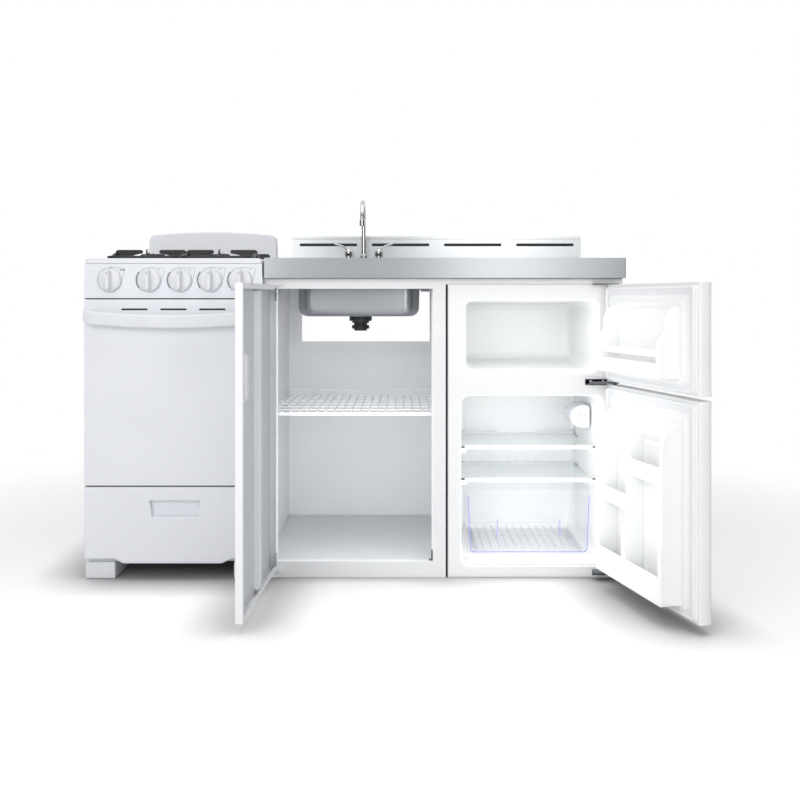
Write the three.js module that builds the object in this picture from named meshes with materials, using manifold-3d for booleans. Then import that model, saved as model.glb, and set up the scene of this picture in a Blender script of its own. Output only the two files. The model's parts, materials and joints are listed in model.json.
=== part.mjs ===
// Kitchenette: gas range beside a sink cabinet and a two-door fridge under one steel counter.
// Millimetres, +Z up, front faces -Y. Sizes are first set from the range's left side (x 0), the
// front of the cabinets (y 0) and the floor (z 0); the last lines centre the footprint.
import * as THREE from 'three';
import { mergeVertices } from 'three/addons/utils/BufferGeometryUtils.js';
import Module from 'manifold-3d';

const wasm = await Module();
wasm.setup();

// Overall
const gap = 0.3; // between two seated pieces
const unitHeight = 914;
const carcassDepth = 606;
const frontOverhang = 25; // counter and cooktop ahead of the cabinets
const originX = 821; // middle of the footprint
const originY = 53;

// Range
const rangeWidth = 508;
const rangeDepth = 600;
const footHeight = 48;
const footWidth = 85;
const rangeSideWall = 25;
const panelBottom = 798;
const cooktopSkirt = 16;
const cooktopSheet = 3;
const cooktopRim = 20;
const wellDepth = 4;
const burnerHoleRadius = 40;
const burnerSpreadX = 214;
const burnerFrontY = 150;
const burnerRearY = 430;
const burnerRadius = 46;
const burnerCapTop = 13;
const burnerSides = 18;
const grateTop = 945;
const grateBar = 9;
const grateWidth = 216;
const grateDepth = 500;
const knobHeight = 851;
const knobPositions = [74, 186, 274, 359.5, 445];
const knobRadius = 33;
const knobSkirt = 8;
const knobGrip = 22;
const stemRadius = 5;
const stemReach = 16; // of the valve stem past the panel
const ovenDoorBottom = 270;
const ovenDoorThick = 32;
const doorFrontY = -35;
const ovenDoorMargin = 4;
const ovenHingeInset = 60;
const ovenPinRadius = 3.2;
const ovenPocketBottom = 285;
const ovenPocketTop = 775;
const ovenPocketDepth = 560;
const linerWall = 3;
const rackHeight = 455;
const rackDepth = 460;
const drawerPocketDepth = 560;
const drawerTop = 266;
const drawerTravelBack = 500;
const drawerWall = 3;
const backguardThick = 38;
const backguardTop = 1026;
const backguardWidth = 443;

// Sink cabinet
const counterLength = 1028;
const counterEdge = 57;
const counterSheet = 4;
const splashTop = 1016;
const splashThick = 20;
const splashInset = 15;
const cabinetWidth = 519.7;
const panelSheet = 3;
const frameThick = 20;
const leftPost = 33;
const rightPost = 37;
const bottomRail = 47;
const openingTop = 826.6;
const plumbingOpening = 649;
const bowlWidth = 370;
const bowlDepth = 350;
const bowlFrontY = 85;
const bowlHeight = 165;
const bowlCorner = 48;
const bowlWall = 2;
const bowlFlange = 14;
const bowlOffset = 5.85; // of the bowl's centre from the cabinet's middle
const drainRadius = 34;
const outletRadius = 19;
const faucetY = 515;
const faucetSpacing = 102;
const riserRadius = 13;
const spoutRadius = 7.3;
const spoutRise = 1053;
const spoutBend = 65;
const spoutTip = 1035;
const shelfHeight = 468;
const shelfFrontY = 45;
const shelfDepth = 500;
const wireThick = 4;
const wirePitch = 25.4;
const cabinetDoorWidth = 475;
const cabinetDoorThick = 18;
const cabinetDoorInset = 20.7; // from the cabinet's left side
const cabinetDoorBottom = 26;
const cabinetDoorTop = 837;
const cabinetDoorGap = 3;
const cabinetDoorOpen = 92.5;
const hingePinRadius = 3;
const pullLength = 125;
const pullWidth = 34;
const pullBottom = 546;

// Fridge
const fridgeGap = 6; // beside the sink cabinet
const fridgeWidth = 484;
const fridgeHeight = 840;
const fridgeDepth = 580;
const freezerWall = 50;
const fridgeWall = 36;
const freezerBottom = 585;
const freezerTop = 797;
const chillerBottom = 33;
const chillerTop = 522;
const linerSheet = 2.5;
const linerDraft = 14;
const doorDepth = 40;
const doorBackY = -15;
const doorSplit = 560;
const doorSplitGap = 11;
const fridgeDoorBottom = 26;
const freezerDoorTop = 838;
const fridgeDoorsOpen = 104;
const doorWallReach = 62;
const shelfLevel = 357;
const crisperCoverLevel = 262;
const shelfFront = 78;
const crisperBottom = 49;
const crisperTop = 235;
const crisperPullTop = 151;
const crisperPullBottom = 97;
const crisperPullWidth = 184;
const crisperPullDepth = 14;
const thermostatTop = 476;
const machineHeight = 200;
const machineDepth = 130;
const rearInsulation = 30; // between the lining and the machine recess
const linerDepth = fridgeDepth - machineDepth - rearInsulation;
const hingeAxisInset = 12;
const hingeAxisY = -32;
const doorPinRadius = 4;

const shades = {
  enamel: [0xf1f2f3, 0.25, 0], panelWhite: [0xf4f5f6, 0.45, 0], black: [0x17181a, 0.5, 0.1],
  darkPlastic: [0x26282b, 0.55, 0], steel: [0xb9bcc0, 0.32, 1], chrome: [0xd6d9dc, 0.08, 1],
  knob: [0xf5f5f5, 0.35, 0], liner: [0xfafafa, 0.4, 0], glass: [0xdfe9ee, 0.05, 0],
  clear: [0xdbe6f2, 0.1, 0], aluminium: [0xb4b6b9, 0.45, 1], wire: [0xf6f6f6, 0.35, 0],
  oven: [0x4a4d52, 0.4, 0.1], grey: [0xa7abb0, 0.5, 0.2],
};

function makeMesh(name, geometry, shade) {
  const [color, roughness, metalness] = shades[shade];
  const mesh = new THREE.Mesh(geometry, new THREE.MeshStandardMaterial({ color, roughness, metalness }));
  mesh.name = name;
  return mesh;
}

function toSolid(geometry) {
  const bare = geometry.clone();
  bare.deleteAttribute('normal');
  bare.deleteAttribute('uv');
  const merged = mergeVertices(bare, 1e-4);
  return new wasm.Manifold(new wasm.Mesh({
    numProp: 3, vertProperties: merged.attributes.position.array, triVerts: merged.index.array,
  }));
}

function toGeometry(solid) {
  const { vertProperties, triVerts } = solid.getMesh();
  const geometry = new THREE.BufferGeometry();
  geometry.setAttribute('position', new THREE.BufferAttribute(new Float32Array(vertProperties), 3));
  geometry.setIndex(new THREE.BufferAttribute(new Uint32Array(triVerts), 1));
  geometry.computeVertexNormals();
  return geometry;
}

function join(first, ...rest) {
  return rest.reduce((sum, next) => sum.add(next), first);
}

function cut(first, ...rest) {
  return rest.reduce((sum, next) => sum.subtract(next), first);
}

// Solid box between two corners
function block(x0, x1, y0, y1, z0, z1) {
  return toSolid(new THREE.BoxGeometry(x1 - x0, y1 - y0, z1 - z0)
    .translate((x0 + x1) / 2, (y0 + y1) / 2, (z0 + z1) / 2));
}

function roundedOutline(x0, x1, y0, y1, radius) {
  const shape = new THREE.Shape();
  shape.moveTo(x0 + radius, y0);
  shape.lineTo(x1 - radius, y0);
  shape.absarc(x1 - radius, y0 + radius, radius, -Math.PI / 2, 0);
  shape.lineTo(x1, y1 - radius);
  shape.absarc(x1 - radius, y1 - radius, radius, 0, Math.PI / 2);
  shape.lineTo(x0 + radius, y1);
  shape.absarc(x0 + radius, y1 - radius, radius, Math.PI / 2, Math.PI);
  shape.lineTo(x0, y0 + radius);
  shape.absarc(x0 + radius, y0 + radius, radius, Math.PI, 1.5 * Math.PI);
  return shape;
}

function outlineOf(points) {
  return new THREE.Shape(points.map(([x, y]) => new THREE.Vector2(x, y)));
}

// Outline in plan, raised from z0 to z1
function raised(shape, z0, z1, curveSegments = 6) {
  return toSolid(new THREE.ExtrudeGeometry(shape, { depth: z1 - z0, bevelEnabled: false, curveSegments })
    .translate(0, 0, z0));
}

// Outline seen from the front (x across, z up), running back from y0 to y1
function facing(shape, y0, y1, curveSegments = 6) {
  return toSolid(new THREE.ExtrudeGeometry(shape, { depth: y1 - y0, bevelEnabled: false, curveSegments })
    .rotateX(Math.PI / 2).translate(0, y1, 0));
}

// Outline seen from the right (y across, z up), running from x0 to x1
function sideways(shape, x0, x1) {
  return toSolid(new THREE.ExtrudeGeometry(shape, { depth: x1 - x0, bevelEnabled: false })
    .rotateX(Math.PI / 2).rotateZ(Math.PI / 2).translate(x0, 0, 0));
}

function rod(radius, length, segments = 16) {
  return new THREE.CylinderGeometry(radius, radius, length, segments);
}

function uprightRod(x, y, z0, z1, radius, segments) {
  return toSolid(rod(radius, z1 - z0, segments).rotateX(Math.PI / 2).translate(x, y, (z0 + z1) / 2));
}

function deepRod(x, z, y0, y1, radius, segments) {
  return toSolid(rod(radius, y1 - y0, segments).translate(x, (y0 + y1) / 2, z));
}

function acrossRod(y, z, x0, x1, radius, segments) {
  return toSolid(rod(radius, x1 - x0, segments).rotateZ(Math.PI / 2).translate((x0 + x1) / 2, y, z));
}

// Profile of [radius, height] pairs turned round a vertical axis
function turned(profile, segments, x = 0, y = 0) {
  const points = profile.map(([r, h]) => new THREE.Vector2(r, h));
  return toSolid(new THREE.LatheGeometry(points, segments).rotateX(Math.PI / 2).translate(x, y, 0));
}

function placed(solid, dx, dy, dz) {
  return solid.translate([dx, dy, dz]);
}

const unit = new THREE.Group();

function addPiece(name, solid, shade, parent = unit) {
  parent.add(makeMesh(name, toGeometry(solid), shade));
}

function pivotAt(x, y, z) {
  const pivot = new THREE.Group();
  pivot.position.set(x, y, z);
  unit.add(pivot);
  return pivot;
}

// ---- Range ----
const rangeMiddle = rangeWidth / 2;
const cooktopBottom = unitHeight - cooktopSkirt;
const burnerBoxFloor = panelBottom + 2;
const drawerPocketBottom = footHeight + 10;
const drawerPocketTop = drawerTop - 4;
const wellFloor = unitHeight - wellDepth;
const ovenAxisY = doorFrontY + 5;
const ovenAxisZ = ovenDoorBottom + 5;
const ovenHinges = [ovenHingeInset, rangeWidth - ovenHingeInset];
const burnerPlaces = [-1, 1].flatMap((side) => [burnerFrontY, burnerRearY]
  .map((y) => [rangeMiddle + side * burnerSpreadX / 2, y]));

function addRangeBase() {
  const outline = outlineOf([[0, -10], [footWidth, -10], [footWidth, rangeDepth - 60],
    [rangeWidth - footWidth, rangeDepth - 60], [rangeWidth - footWidth, -10], [rangeWidth, -10],
    [rangeWidth, rangeDepth], [0, rangeDepth]]);
  addPiece('range_base', raised(outline, 0, footHeight - gap), 'enamel');
}

function addRangeBody() {
  const shell = block(0, rangeWidth, 0, rangeDepth, footHeight, cooktopBottom - gap);
  const ovenPocket = block(rangeSideWall, rangeWidth - rangeSideWall, -1, ovenPocketDepth,
    ovenPocketBottom, ovenPocketTop);
  const drawerPocket = block(rangeSideWall - 5, rangeWidth - rangeSideWall + 5, -1, drawerPocketDepth,
    drawerPocketBottom, drawerPocketTop);
  const burnerBox = block(cooktopSheet, rangeWidth - cooktopSheet, -1, rangeDepth - cooktopSheet,
    burnerBoxFloor, unitHeight);
  const lugs = ovenHinges.flatMap((x) => [
    block(x - 3, x + 3, ovenAxisY - 2, 1, ovenAxisZ - 2.5, ovenAxisZ + 2.5),
    acrossRod(ovenAxisY, ovenAxisZ, x - 8, x + 8, ovenPinRadius, 12)]);
  addPiece('range_body', join(cut(shell, ovenPocket, drawerPocket, burnerBox), ...lugs), 'enamel');
}

function addOvenLiner() {
  const [x0, x1] = [rangeSideWall + gap, rangeWidth - rangeSideWall - gap];
  const [z0, z1] = [ovenPocketBottom + gap, ovenPocketTop - gap];
  const outer = block(x0, x1, 0, ovenPocketDepth - gap, z0, z1);
  const inner = block(x0 + linerWall, x1 - linerWall, -1, ovenPocketDepth - gap - linerWall,
    z0 + linerWall, z1 - linerWall);
  const guides = [x0 + linerWall - 1, x1 - linerWall - 9].flatMap((x) => [rackHeight - 8, rackHeight + 82]
    .map((z) => block(x, x + 10, 30, ovenPocketDepth - linerWall - 20, z, z + 8 - gap)));
  addPiece('oven_liner', join(cut(outer, inner), ...guides), 'oven');
}

function addOvenRack() {
  const [x0, x1] = [rangeSideWall + linerWall + 3, rangeWidth - rangeSideWall - linerWall - 3];
  const y1 = ovenPocketDepth - gap - linerWall - 2;
  const y0 = y1 - rackDepth;
  const bar = 6;
  const rails = [x0, x1 - bar].map((x) => block(x, x + bar, y0, y1, rackHeight, rackHeight + bar));
  const cross = [y0 + 1, (y0 + y1 - bar) / 2, y1 - bar - 1]
    .map((y) => block(x0 + 1, x1 - 1, y, y + bar, rackHeight + 0.5, rackHeight + bar - 0.5));
  const wires = [];
  for (let x = x0 + 34; x < x1 - 20; x += 30) {
    wires.push(block(x, x + 4, y0 + 2.5, y1 - 2.5, rackHeight + 3, rackHeight + bar + 1));
  }
  addPiece('oven_rack', join(...rails, ...cross, ...wires), 'chrome');
}

function addOvenBurner() {
  const tubeRadius = 15;
  const floor = ovenPocketBottom + gap + linerWall;
  const z = floor + gap + tubeRadius + 12;
  const feet = [120, 400].map((y) => block(rangeMiddle - 30, rangeMiddle + 30, y, y + 12, floor + gap, z));
  addPiece('oven_burner', join(deepRod(rangeMiddle, z, 70, ovenPocketDepth - 60, tubeRadius, 16), ...feet),
    'aluminium');
}

function addCooktop() {
  const outer = raised(roundedOutline(0, rangeWidth, -frontOverhang, rangeDepth, 10),
    cooktopBottom, unitHeight, 3);
  const hollow = block(cooktopSheet, rangeWidth - cooktopSheet, cooktopSheet - frontOverhang,
    rangeDepth - cooktopSheet, cooktopBottom - 1, wellFloor - cooktopSheet);
  const well = raised(roundedOutline(cooktopRim, rangeWidth - cooktopRim, 15,
    rangeDepth - backguardThick - cooktopRim, 16), wellFloor, unitHeight + 1, 3);
  const holes = burnerPlaces.map(([x, y]) => uprightRod(x, y, 800, 1000, burnerHoleRadius, burnerSides));
  addPiece('cooktop', cut(outer, hollow, well, ...holes), 'enamel');
}

function addBurners() {
  const throat = burnerHoleRadius - gap;
  const profile = [[0, wellFloor - 22], [throat - 14, wellFloor - 22], [throat, wellFloor - 8],
    [throat, wellFloor + gap], [burnerRadius, wellFloor + gap], [burnerRadius, wellFloor + 3],
    [throat - 4, wellFloor + 5], [throat - 4, wellFloor + 9], [throat - 1, wellFloor + 9],
    [throat - 2, wellFloor + burnerCapTop], [0, wellFloor + burnerCapTop]];
  const names = ['burner_front_left', 'burner_rear_left', 'burner_front_right', 'burner_rear_right'];
  burnerPlaces.forEach(([x, y], i) => addPiece(names[i], turned(profile, burnerSides, x, y), 'aluminium'));
}

// Cast grate over two burners: a frame, a middle bar, four fingers a burner and six legs
function addGrate(name, centreX, pivot) {
  const [x0, x1] = [centreX - grateWidth / 2 + 1, centreX + grateWidth / 2 - 1];
  const y0 = (burnerFrontY + burnerRearY) / 2 - grateDepth / 2;
  const y1 = y0 + grateDepth;
  const [z0, z1] = [grateTop - 16 - grateBar, grateTop - 16];
  const outer = raised(roundedOutline(x0, x1, y0, y1, 28), z0, z1, 4);
  const inner = raised(roundedOutline(x0 + grateBar, x1 - grateBar, y0 + grateBar, y1 - grateBar,
    28 - grateBar), z0 - 1, z1 + 1, 4);
  const middle = (y0 + y1) / 2;
  const pieces = [block(x0 + 1, x1 - 1, middle - grateBar / 2, middle + grateBar / 2, z0, z1)];
  const reach = 24;
  const half = grateBar / 2;
  for (const burnerY of [burnerFrontY, burnerRearY]) {
    const spans = [[x0 + 1, centreX - reach, true], [centreX + reach, x1 - 1, true],
      [burnerY < middle ? y0 + 1 : middle, burnerY - reach, false],
      [burnerY + reach, burnerY < middle ? middle : y1 - 1, false]];
    for (const [from, to, along] of spans) {
      pieces.push(along ? block(from, to, burnerY - half, burnerY + half, z1 - 3, grateTop - 6)
        : block(centreX - half, centreX + half, from, to, z1 - 3, grateTop - 6));
    }
    pieces.push(block(x0 + 1, x0 + 1 + grateBar, burnerY - half, burnerY + half, z0, grateTop),
      block(x1 - 1 - grateBar, x1 - 1, burnerY - half, burnerY + half, z0, grateTop));
  }
  for (const y of [y0 + 40, middle, y1 - 40]) {
    for (const x of [x0, x1 - grateBar]) {
      pieces.push(block(x + 0.5, x + grateBar - 0.5, y - half, y + half, wellFloor + gap, z1 - 1));
    }
  }
  addPiece(name, join(cut(outer, inner), ...pieces), 'black', pivot);
}

function addControlPanel() {
  const [y0, y1] = [-frontOverhang, -gap];
  const outer = block(0, rangeWidth, y0, y1, panelBottom, cooktopBottom - gap);
  const hollow = block(4, rangeWidth - 4, y0 + 3, 1, panelBottom + 4, cooktopBottom - gap - 4);
  const holes = knobPositions.map((x) => deepRod(x, knobHeight, y0 - 5, y1, stemRadius + 1.5, 12));
  addPiece('control_panel', cut(outer, hollow, ...holes), 'enamel');
}

function addGasManifold() {
  const pipeRadius = 10;
  const pipeY = 45;
  const pipe = acrossRod(pipeY, knobHeight, 45, rangeWidth - 45, pipeRadius, 12);
  const valves = knobPositions.flatMap((x) => [
    block(x - 12, x + 12, 8, pipeY, knobHeight - 12, knobHeight + 12),
    deepRod(x, knobHeight, -frontOverhang - stemReach, 12, stemRadius, 12)]);
  const brackets = [100, 400].map((x) => block(x, x + 20, pipeY - 6, pipeY + 6, burnerBoxFloor + gap,
    knobHeight));
  addPiece('gas_manifold', join(pipe, ...valves, ...brackets), 'aluminium');
}

// Round skirt with an upright grip bar, bored from the back for the valve stem
function addKnob(name, x) {
  const back = -frontOverhang - 2;
  const front = back - knobSkirt;
  const pivot = pivotAt(x, 0, knobHeight);
  const skirt = toSolid(new THREE.CylinderGeometry(knobRadius, knobRadius - 3, knobSkirt, 24)
    .translate(0, (back + front) / 2, 0));
  const bar = roundedOutline(-7, 7, -knobRadius + 4, knobRadius - 4, 6);
  const grip = facing(bar, front - knobGrip, front + 1, 2);
  const bore = toSolid(rod(stemRadius + gap, stemReach + 3, 12).translate(0, back - stemReach / 2, 0));
  addPiece(name, cut(join(skirt, grip), bore), 'knob', pivot);
}

function addOvenDoor() {
  const [x0, x1] = [ovenDoorMargin, rangeWidth - ovenDoorMargin];
  const [z0, z1] = [ovenDoorBottom, panelBottom - 2];
  const pivot = pivotAt(0, ovenAxisY, ovenAxisZ);
  const rim = 10;
  const hingeRoom = ovenHinges.flatMap((x) => [
    block(x - 3 - gap, x + 3 + gap, ovenAxisY - ovenPinRadius - gap, 1, z0 - 1, ovenAxisZ + 4),
    acrossRod(ovenAxisY, ovenAxisZ, x - 8 - gap, x + 8 + gap, ovenPinRadius + gap, 12)]);
  const backY = doorFrontY + ovenDoorThick - 8;
  const outer = block(x0, x1, doorFrontY, backY, z0, z1);
  const hollow = block(x0 + rim, x1 - rim, doorFrontY + 3, backY + 1, z0 + rim, z1 - rim);
  const ventZ = z1 - 28;
  const vents = [146.5, 256.5, 366.5].map((x) => facing(roundedOutline(x - 37.5, x + 37.5,
    ventZ - 2.5, ventZ + 2.5, 2.4), doorFrontY - 1, doorFrontY + 5, 3));
  const panel = cut(outer, hollow, ...vents, ...hingeRoom);
  addPiece('oven_door_panel', placed(panel, 0, -ovenAxisY, -ovenAxisZ), 'enamel', pivot);
  const plate = block(x0 + 2, x1 - 2, backY + gap, backY + 5, z0 + 2, z1 - 2);
  const plug = block(x0 + 40, x1 - 40, backY + 4, backY + 7.5, z0 + 40, z1 - 40);
  const lining = cut(join(plate, plug), ...hingeRoom);
  addPiece('oven_door_liner', placed(lining, 0, -ovenAxisY, -ovenAxisZ), 'oven', pivot);
  addOvenHandle(pivot);
}

// Broad grip bowed downwards, on a post at each end
function addOvenHandle(pivot) {
  const [x0, x1] = [13, rangeWidth - 13];
  const [endTop, middleTop] = [767, 754];
  const height = 42;
  const shape = new THREE.Shape();
  shape.moveTo(x0, endTop - height + 4);
  shape.quadraticCurveTo(rangeMiddle, 2 * (middleTop - height) - endTop + height, x1, endTop - height + 4);
  shape.lineTo(x1, endTop);
  shape.quadraticCurveTo(rangeMiddle, 2 * middleTop - endTop, x0, endTop);
  const standoff = 40;
  const grip = facing(shape, doorFrontY - standoff, doorFrontY - standoff + 16, 14);
  const posts = [x0 + 2, x1 - 32].map((x) => block(x, x + 30, doorFrontY - standoff + 10,
    doorFrontY - gap, endTop - height + 6, endTop - 4));
  addPiece('oven_door_handle', placed(join(grip, ...posts), 0, -ovenAxisY, -ovenAxisZ), 'enamel', pivot);
}

function addRangeDrawer() {
  const [x0, x1] = [ovenDoorMargin, rangeWidth - ovenDoorMargin];
  const pivot = pivotAt(0, 0, 0);
  const low = footHeight + 1;
  const outline = outlineOf([[x0, low + 13], [footWidth + 5, low + 13], [footWidth + 29, low],
    [rangeWidth - footWidth - 29, low], [rangeWidth - footWidth - 5, low + 13], [x1, low + 13],
    [x1, drawerTop], [x0, drawerTop]]);
  const front = facing(outline, doorFrontY, -3);
  const pull = facing(outlineOf([[194, 182], [324, 182], [329, 226], [189, 226]]), doorFrontY - 1,
    doorFrontY + 18);
  addPiece('range_drawer_front', cut(front, pull), 'enamel', pivot);
  const [y0, y1] = [-3 + gap, drawerTravelBack];
  const [z0, z1] = [drawerPocketBottom + gap, drawerPocketTop - 60];
  const wall = rangeSideWall - 3;
  const box = cut(block(wall, rangeWidth - wall, y0, y1, z0, z1),
    block(wall + drawerWall, rangeWidth - wall - drawerWall, y0 + drawerWall, y1 - drawerWall,
      z0 + drawerWall, z1 + 1));
  addPiece('range_drawer_box', box, 'grey', pivot);
}

function addBackguard() {
  const half = backguardWidth / 2;
  const [left, right] = [rangeMiddle - half, rangeMiddle + half];
  const shoulder = backguardTop - 10;
  const shape = new THREE.Shape();
  shape.moveTo(left, unitHeight + gap);
  shape.lineTo(right, unitHeight + gap);
  shape.lineTo(right - 4, shoulder - 20);
  shape.quadraticCurveTo(right - 5, shoulder - 2, right - 24, shoulder);
  shape.quadraticCurveTo(rangeMiddle, backguardTop + 10, left + 24, shoulder);
  shape.quadraticCurveTo(left + 5, shoulder - 2, left + 4, shoulder - 20);
  const outer = facing(shape, rangeDepth - backguardThick, rangeDepth, 10);
  const hollow = block(rangeMiddle - half + 10, rangeMiddle + half - 10, rangeDepth - backguardThick + 3,
    rangeDepth + 1, unitHeight + 4, backguardTop - 20);
  addPiece('backguard', cut(outer, hollow), 'enamel');
}

// ---- Counter, sink and faucet ----
const cabinetLeft = rangeWidth + gap;
const cabinetRight = cabinetLeft + cabinetWidth;
const bowlCentreX = cabinetLeft + cabinetWidth / 2 + bowlOffset;
const counterLeft = cabinetLeft + 1.7;
const counterRight = counterLeft + counterLength;
const counterBottom = unitHeight - counterEdge;
const sheetBottom = unitHeight - counterSheet;
const counterMiddle = (counterLeft + counterRight) / 2;
const bowlMiddleY = bowlFrontY + bowlDepth / 2;
const faucetPlaces = [-1, 0, 1].map((side) => bowlCentreX + side * faucetSpacing / 2);

function addCountertop() {
  const [y0, y1] = [-frontOverhang, carcassDepth + 4];
  const outer = raised(roundedOutline(counterLeft, counterRight, y0, y1, 2), counterBottom, unitHeight, 2);
  const hollow = block(counterLeft + 3, counterRight - 3, y0 + 3, y1 - 3, counterBottom - 1, sheetBottom);
  const sinkHole = raised(roundedOutline(bowlCentreX - bowlWidth / 2 + bowlWall,
    bowlCentreX + bowlWidth / 2 - bowlWall, bowlFrontY + bowlWall, bowlFrontY + bowlDepth - bowlWall,
    bowlCorner - bowlWall), sheetBottom - 1, unitHeight + 1);
  const faucetHoles = faucetPlaces.map((x) => uprightRod(x, faucetY, 880, 930, riserRadius + 1, 14));
  const [s0, s1] = [counterLeft + splashInset, counterRight - splashInset];
  const splash = block(s0, s1, y1 - splashThick, y1, unitHeight - 2, splashTop);
  const splashHollow = block(s0 + 3, s1 - 3, y1 - splashThick + 3, y1 + 1, unitHeight + 3, splashTop - 3);
  const slots = [-1.5, -0.5, 0.5, 1.5].map((step) => {
    const x = counterMiddle + step * 250;
    return facing(roundedOutline(x - 100, x + 100, 979, 989, 4.9), y1 - splashThick - 1,
      y1 - splashThick + 5, 4);
  });
  addPiece('countertop', cut(join(cut(outer, hollow), splash), splashHollow, sinkHole, ...faucetHoles,
    ...slots), 'steel');
}

// Rounded bowl: straight walls, a bevelled floor edge and a flange under the counter sheet
function bowlBody(inset, floorZ, topZ) {
  const edge = 24 - inset;
  const [x0, x1] = [bowlCentreX - bowlWidth / 2 + inset, bowlCentreX + bowlWidth / 2 - inset];
  const [y0, y1] = [bowlFrontY + inset, bowlFrontY + bowlDepth - inset];
  const shape = roundedOutline(x0 + edge, x1 - edge, y0 + edge, y1 - edge, bowlCorner - inset - edge);
  const geometry = new THREE.ExtrudeGeometry(shape, { depth: topZ - floorZ, bevelEnabled: true,
    bevelThickness: edge, bevelSize: edge, bevelSegments: 2, curveSegments: 3 });
  return toSolid(geometry.translate(0, 0, floorZ + edge));
}

function addSinkBowl() {
  const top = sheetBottom - gap;
  const floorZ = top - bowlHeight;
  const outer = bowlBody(0, floorZ, top);
  const inner = bowlBody(bowlWall, floorZ + bowlWall, top);
  const above = block(0, 2000, -100, 800, top, top + 400);
  const flange = cut(raised(roundedOutline(bowlCentreX - bowlWidth / 2 - bowlFlange,
    bowlCentreX + bowlWidth / 2 + bowlFlange, bowlFrontY - bowlFlange,
    bowlFrontY + bowlDepth + bowlFlange, bowlCorner), top - 2, top, 4),
  raised(roundedOutline(bowlCentreX - bowlWidth / 2 + bowlWall, bowlCentreX + bowlWidth / 2 - bowlWall,
    bowlFrontY + bowlWall, bowlFrontY + bowlDepth - bowlWall, bowlCorner - bowlWall), top - 9, top + 1, 4));
  const drainHole = uprightRod(bowlCentreX, bowlMiddleY, floorZ - 5, floorZ + 8, drainRadius + 1, 18);
  addPiece('sink_bowl', join(cut(outer, inner, above, drainHole), flange), 'steel');
  addDrain(floorZ);
}

function addDrain(floorZ) {
  const seat = floorZ + bowlWall + gap;
  const cupFloor = floorZ - 16;
  const bore = outletRadius - 4;
  addPiece('drain_flange', turned([[bore, cupFloor], [drainRadius, cupFloor], [drainRadius, seat],
    [drainRadius + 14, seat], [drainRadius + 14, seat + 2], [drainRadius - 2, seat + 2],
    [drainRadius - 2, cupFloor + 2], [bore, cupFloor + 2], [bore, cupFloor]], 18, bowlCentreX,
  bowlMiddleY), 'steel');
  const top = cupFloor - gap;
  addPiece('drain_outlet', turned([[bore, top - 30], [26.5, top - 30], [26.5, top - 13],
    [outletRadius + 1, top - 13], [outletRadius + 1, top - 6], [26.5, top - 6], [26.5, top],
    [bore, top], [bore, top - 30]], 18, bowlCentreX, bowlMiddleY), 'darkPlastic');
  const pivot = pivotAt(bowlCentreX, bowlMiddleY, 0);
  const low = cupFloor + 2 + gap;
  const rim = drainRadius - 4;
  addPiece('strainer_basket', turned([[0, low], [rim - 6, low], [rim, seat], [rim, seat + 3],
    [rim - 2, seat + 3], [rim - 8, low + 2], [4, low + 2], [4, seat + 10], [9, seat + 13],
    [9, seat + 17], [0, seat + 19]], 14), 'steel', pivot);
}

function addFaucet() {
  const top = unitHeight + gap;
  const deck = [[0, top - 40], [riserRadius, top - 40], [riserRadius, top], [21, top], [21, top + 3],
    [13, top + 9]];
  const socket = turned([...deck, [11, top + 14], [0, top + 14]], 14, faucetPlaces[1], faucetY);
  const stems = [faucetPlaces[0], faucetPlaces[2]].map((x) => turned([...deck, [10, top + 26],
    [6, top + 26], [6, top + 42], [0, top + 42]], 14, x, faucetY));
  const bridge = block(faucetPlaces[0] - 10, faucetPlaces[2] + 10, faucetY - 10, faucetY + 10,
    top - 38, top - 18);
  addPiece('faucet_body', join(bridge, socket, ...stems), 'chrome');
  addSpout(top + 14 + gap);
  addLever('faucet_lever_left', faucetPlaces[0], -1, top + 26 + gap);
  addLever('faucet_lever_right', faucetPlaces[2], 1, top + 26 + gap);
}

function addSpout(baseZ) {
  const pivot = pivotAt(faucetPlaces[1], faucetY, 0);
  const path = new THREE.CurvePath();
  const rise = spoutRise;
  path.add(new THREE.LineCurve3(new THREE.Vector3(0, 0, baseZ + 5), new THREE.Vector3(0, 0, rise)));
  const k = spoutBend * 0.5523; // control points of a quarter circle
  path.add(new THREE.CubicBezierCurve3(new THREE.Vector3(0, 0, rise), new THREE.Vector3(0, 0, rise + k),
    new THREE.Vector3(0, k - spoutBend, rise + spoutBend),
    new THREE.Vector3(0, -spoutBend, rise + spoutBend)));
  path.add(new THREE.CubicBezierCurve3(new THREE.Vector3(0, -spoutBend, rise + spoutBend),
    new THREE.Vector3(0, -spoutBend - k, rise + spoutBend), new THREE.Vector3(0, -2 * spoutBend, rise + k),
    new THREE.Vector3(0, -2 * spoutBend, rise)));
  path.add(new THREE.LineCurve3(new THREE.Vector3(0, -2 * spoutBend, rise),
    new THREE.Vector3(0, -2 * spoutBend, spoutTip + 8)));
  const ring = new THREE.Shape();
  ring.absarc(0, 0, spoutRadius, 0, 2 * Math.PI);
  const tube = toSolid(new THREE.ExtrudeGeometry(ring, { steps: 26, extrudePath: path, curveSegments: 5 }));
  const base = turned([[0, baseZ], [12, baseZ], [12, baseZ + 8], [spoutRadius + 1, baseZ + 20],
    [0, baseZ + 20]], 14);
  const tip = turned([[0, spoutTip], [9.5, spoutTip], [9.5, spoutTip + 18], [spoutRadius, spoutTip + 22],
    [0, spoutTip + 22]], 12, 0, -2 * spoutBend);
  addPiece('faucet_spout', join(tube, base, tip), 'chrome', pivot);
}

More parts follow.
